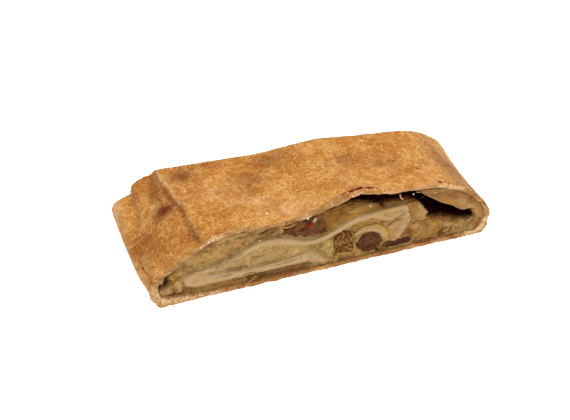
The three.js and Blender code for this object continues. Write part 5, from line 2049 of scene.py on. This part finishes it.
# %% The strand tree
SHAKE_SIZE = 1.2
SECTION_CORNERS = 6
wires, given, result = group(
    "Strands",
    "GeometryNodeTree",
    [
        ("Geometry", GEOMETRY, None),
        ("Thickness", FLOAT, 0.4),
        ("Step", FLOAT, 0.35),
        ("Wander", FLOAT, 0.5),
        ("Material", MATERIAL, None),
    ],
    [("Geometry", GEOMETRY)],
)
threads = wires.add("GeometryNodeMeshToCurve", {"Mesh": given["Geometry"]})
even = wires.add("GeometryNodeResampleCurve", {"Curve": threads.outputs[0]}, mode="LENGTH")
wires.join(wires.times(given["Step"], MM), even.inputs["Length"])
spot = point_places(wires)
shake = wires.vector("SUBTRACT", wires.noise(spot, SHAKE_SIZE, 2.0).outputs[1], NOISE_MIDDLE)
wander = wires.scaled(shake, wires.times(given["Wander"], 2 * MM))
bent = wires.add("GeometryNodeSetPosition", {"Geometry": even.outputs[0], "Offset": wander})
section = wires.add("GeometryNodeCurvePrimitiveCircle", {"Resolution": SECTION_CORNERS})
wires.join(wires.times(given["Thickness"], 0.5 * MM), section.inputs["Radius"])
tube = {"Curve": bent.outputs[0], "Profile Curve": section.outputs[0], "Fill Caps": True}
swept = wires.add("GeometryNodeCurveToMesh", tube)
STRANDS = ended(wires, swept.outputs[0], given, result)


def strands(name, finish, routes, thickness, wander):
    """One piece of thin strands, each through the places of its route."""
    places = [place for route in routes for place in route]
    ends = np.cumsum([len(route) for route in routes])
    steps = [(i, i + 1) for i in range(len(places) - 1) if i + 1 not in ends]
    mesh = bpy.data.meshes.new(name)
    mesh.from_pydata([tuple(Vector(place) * MM) for place in places], steps, [])
    piece = linked(name, mesh)
    shaped(piece, STRANDS, material=finish, thickness=thickness, wander=wander)
    in_frame(piece)


print("a strand's section has", SECTION_CORNERS, "corners")

# %% Pulled threads
DEEP = NEAR_CUT + 1.5
GOLDEN_THREADS = [
    [(-31.2, FACE, 4.4), (-29.8, FACE - 0.2, 5.5), (-28.4, FACE - 0.2, 5.8), (-26.9, FACE, 5.1)],
    [(-28.6, FACE, 1.2), (-27.6, FACE, 2.2), (-26.8, FACE, 2.6)],
    [(28.0, FACE + 0.4, 25.6), (28.4, FACE + 0.3, 24.2), (29.2, FACE + 0.4, 23.0)],
    [(4.4, FACE, 5.7), (6.0, FACE, 4.7), (8.0, FACE, 4.6), (9.8, FACE, 4.3), (11.0, FACE, 5.0)],
    [(10.9, FACE, 5.2), (11.2, FACE, 6.8), (10.8, FACE, 8.2)],
    [(-15.5, FACE, 22.6), (-13.6, FACE, 22.0), (-11.8, FACE, 22.8)],
]
DARK_THREADS = [
    [(22.4, FACE + 0.6, 24.8), (21.6, FACE + 0.4, 23.2), (22.2, FACE + 0.3, 21.6)],
    [(21.6, FACE + 0.4, 23.2), (20.6, FACE + 0.3, 22.6)],
    [(36.6, DEEP, 20.4), (38.2, DEEP, 21.4), (40.0, DEEP, 22.2)],
]
straw = plain_finish("golden_thread", colour(200, 152, 86), 0.5, 0.1)
strands("pulled_threads", straw, GOLDEN_THREADS, 0.55, 0.5)
dark_thread = plain_finish("dark_thread", colour(74, 36, 16), 0.5, 0.2)
strands("dark_threads", dark_thread, DARK_THREADS, 0.4, 0.4)

# %% Fibres in the crumb cluster
FIBRE_COUNT = 34
FIBRE_ACROSS = (4, 10.5)
FIBRE_UP = (5.2, 13.6)
FIBRE_LEANS = [0.7, -0.9, 1.5, 0.1]
FIBRE_SWAY = 0.2
FIBRE_REACH = (0.5, 1.6)
FIBRE_ARCH = 0.2
draw = np.random.default_rng(21)
across_and_up = [draw.uniform(*FIBRE_ACROSS, FIBRE_COUNT), draw.uniform(*FIBRE_UP, FIBRE_COUNT)]
middles = np.column_stack(across_and_up)
leans = draw.choice(FIBRE_LEANS, FIBRE_COUNT) + draw.normal(0, FIBRE_SWAY, FIBRE_COUNT)
reaches = draw.uniform(*FIBRE_REACH, FIBRE_COUNT)
fibres = []
for (x, z), lean, reach in zip(middles, leans, reaches):
    across, up = reach * math.cos(lean), reach * math.sin(lean)
    ends = [(x - across, FACE, z - up), (x + across, FACE, z + up)]
    fibres.append([ends[0], (x, FACE - FIBRE_ARCH, z), ends[1]])
hay = plain_finish("crumb_fibre", colour(184, 134, 72), 0.6, 0.0)
strands("pale_fibres", hay, fibres[::2], 0.34, 0.12)
rust = plain_finish("rusty_fibre", colour(122, 76, 36), 0.6, 0.0)
strands("rusty_fibres", rust, fibres[1::2], 0.4, 0.12)

# %% [markdown]
# ## Finish
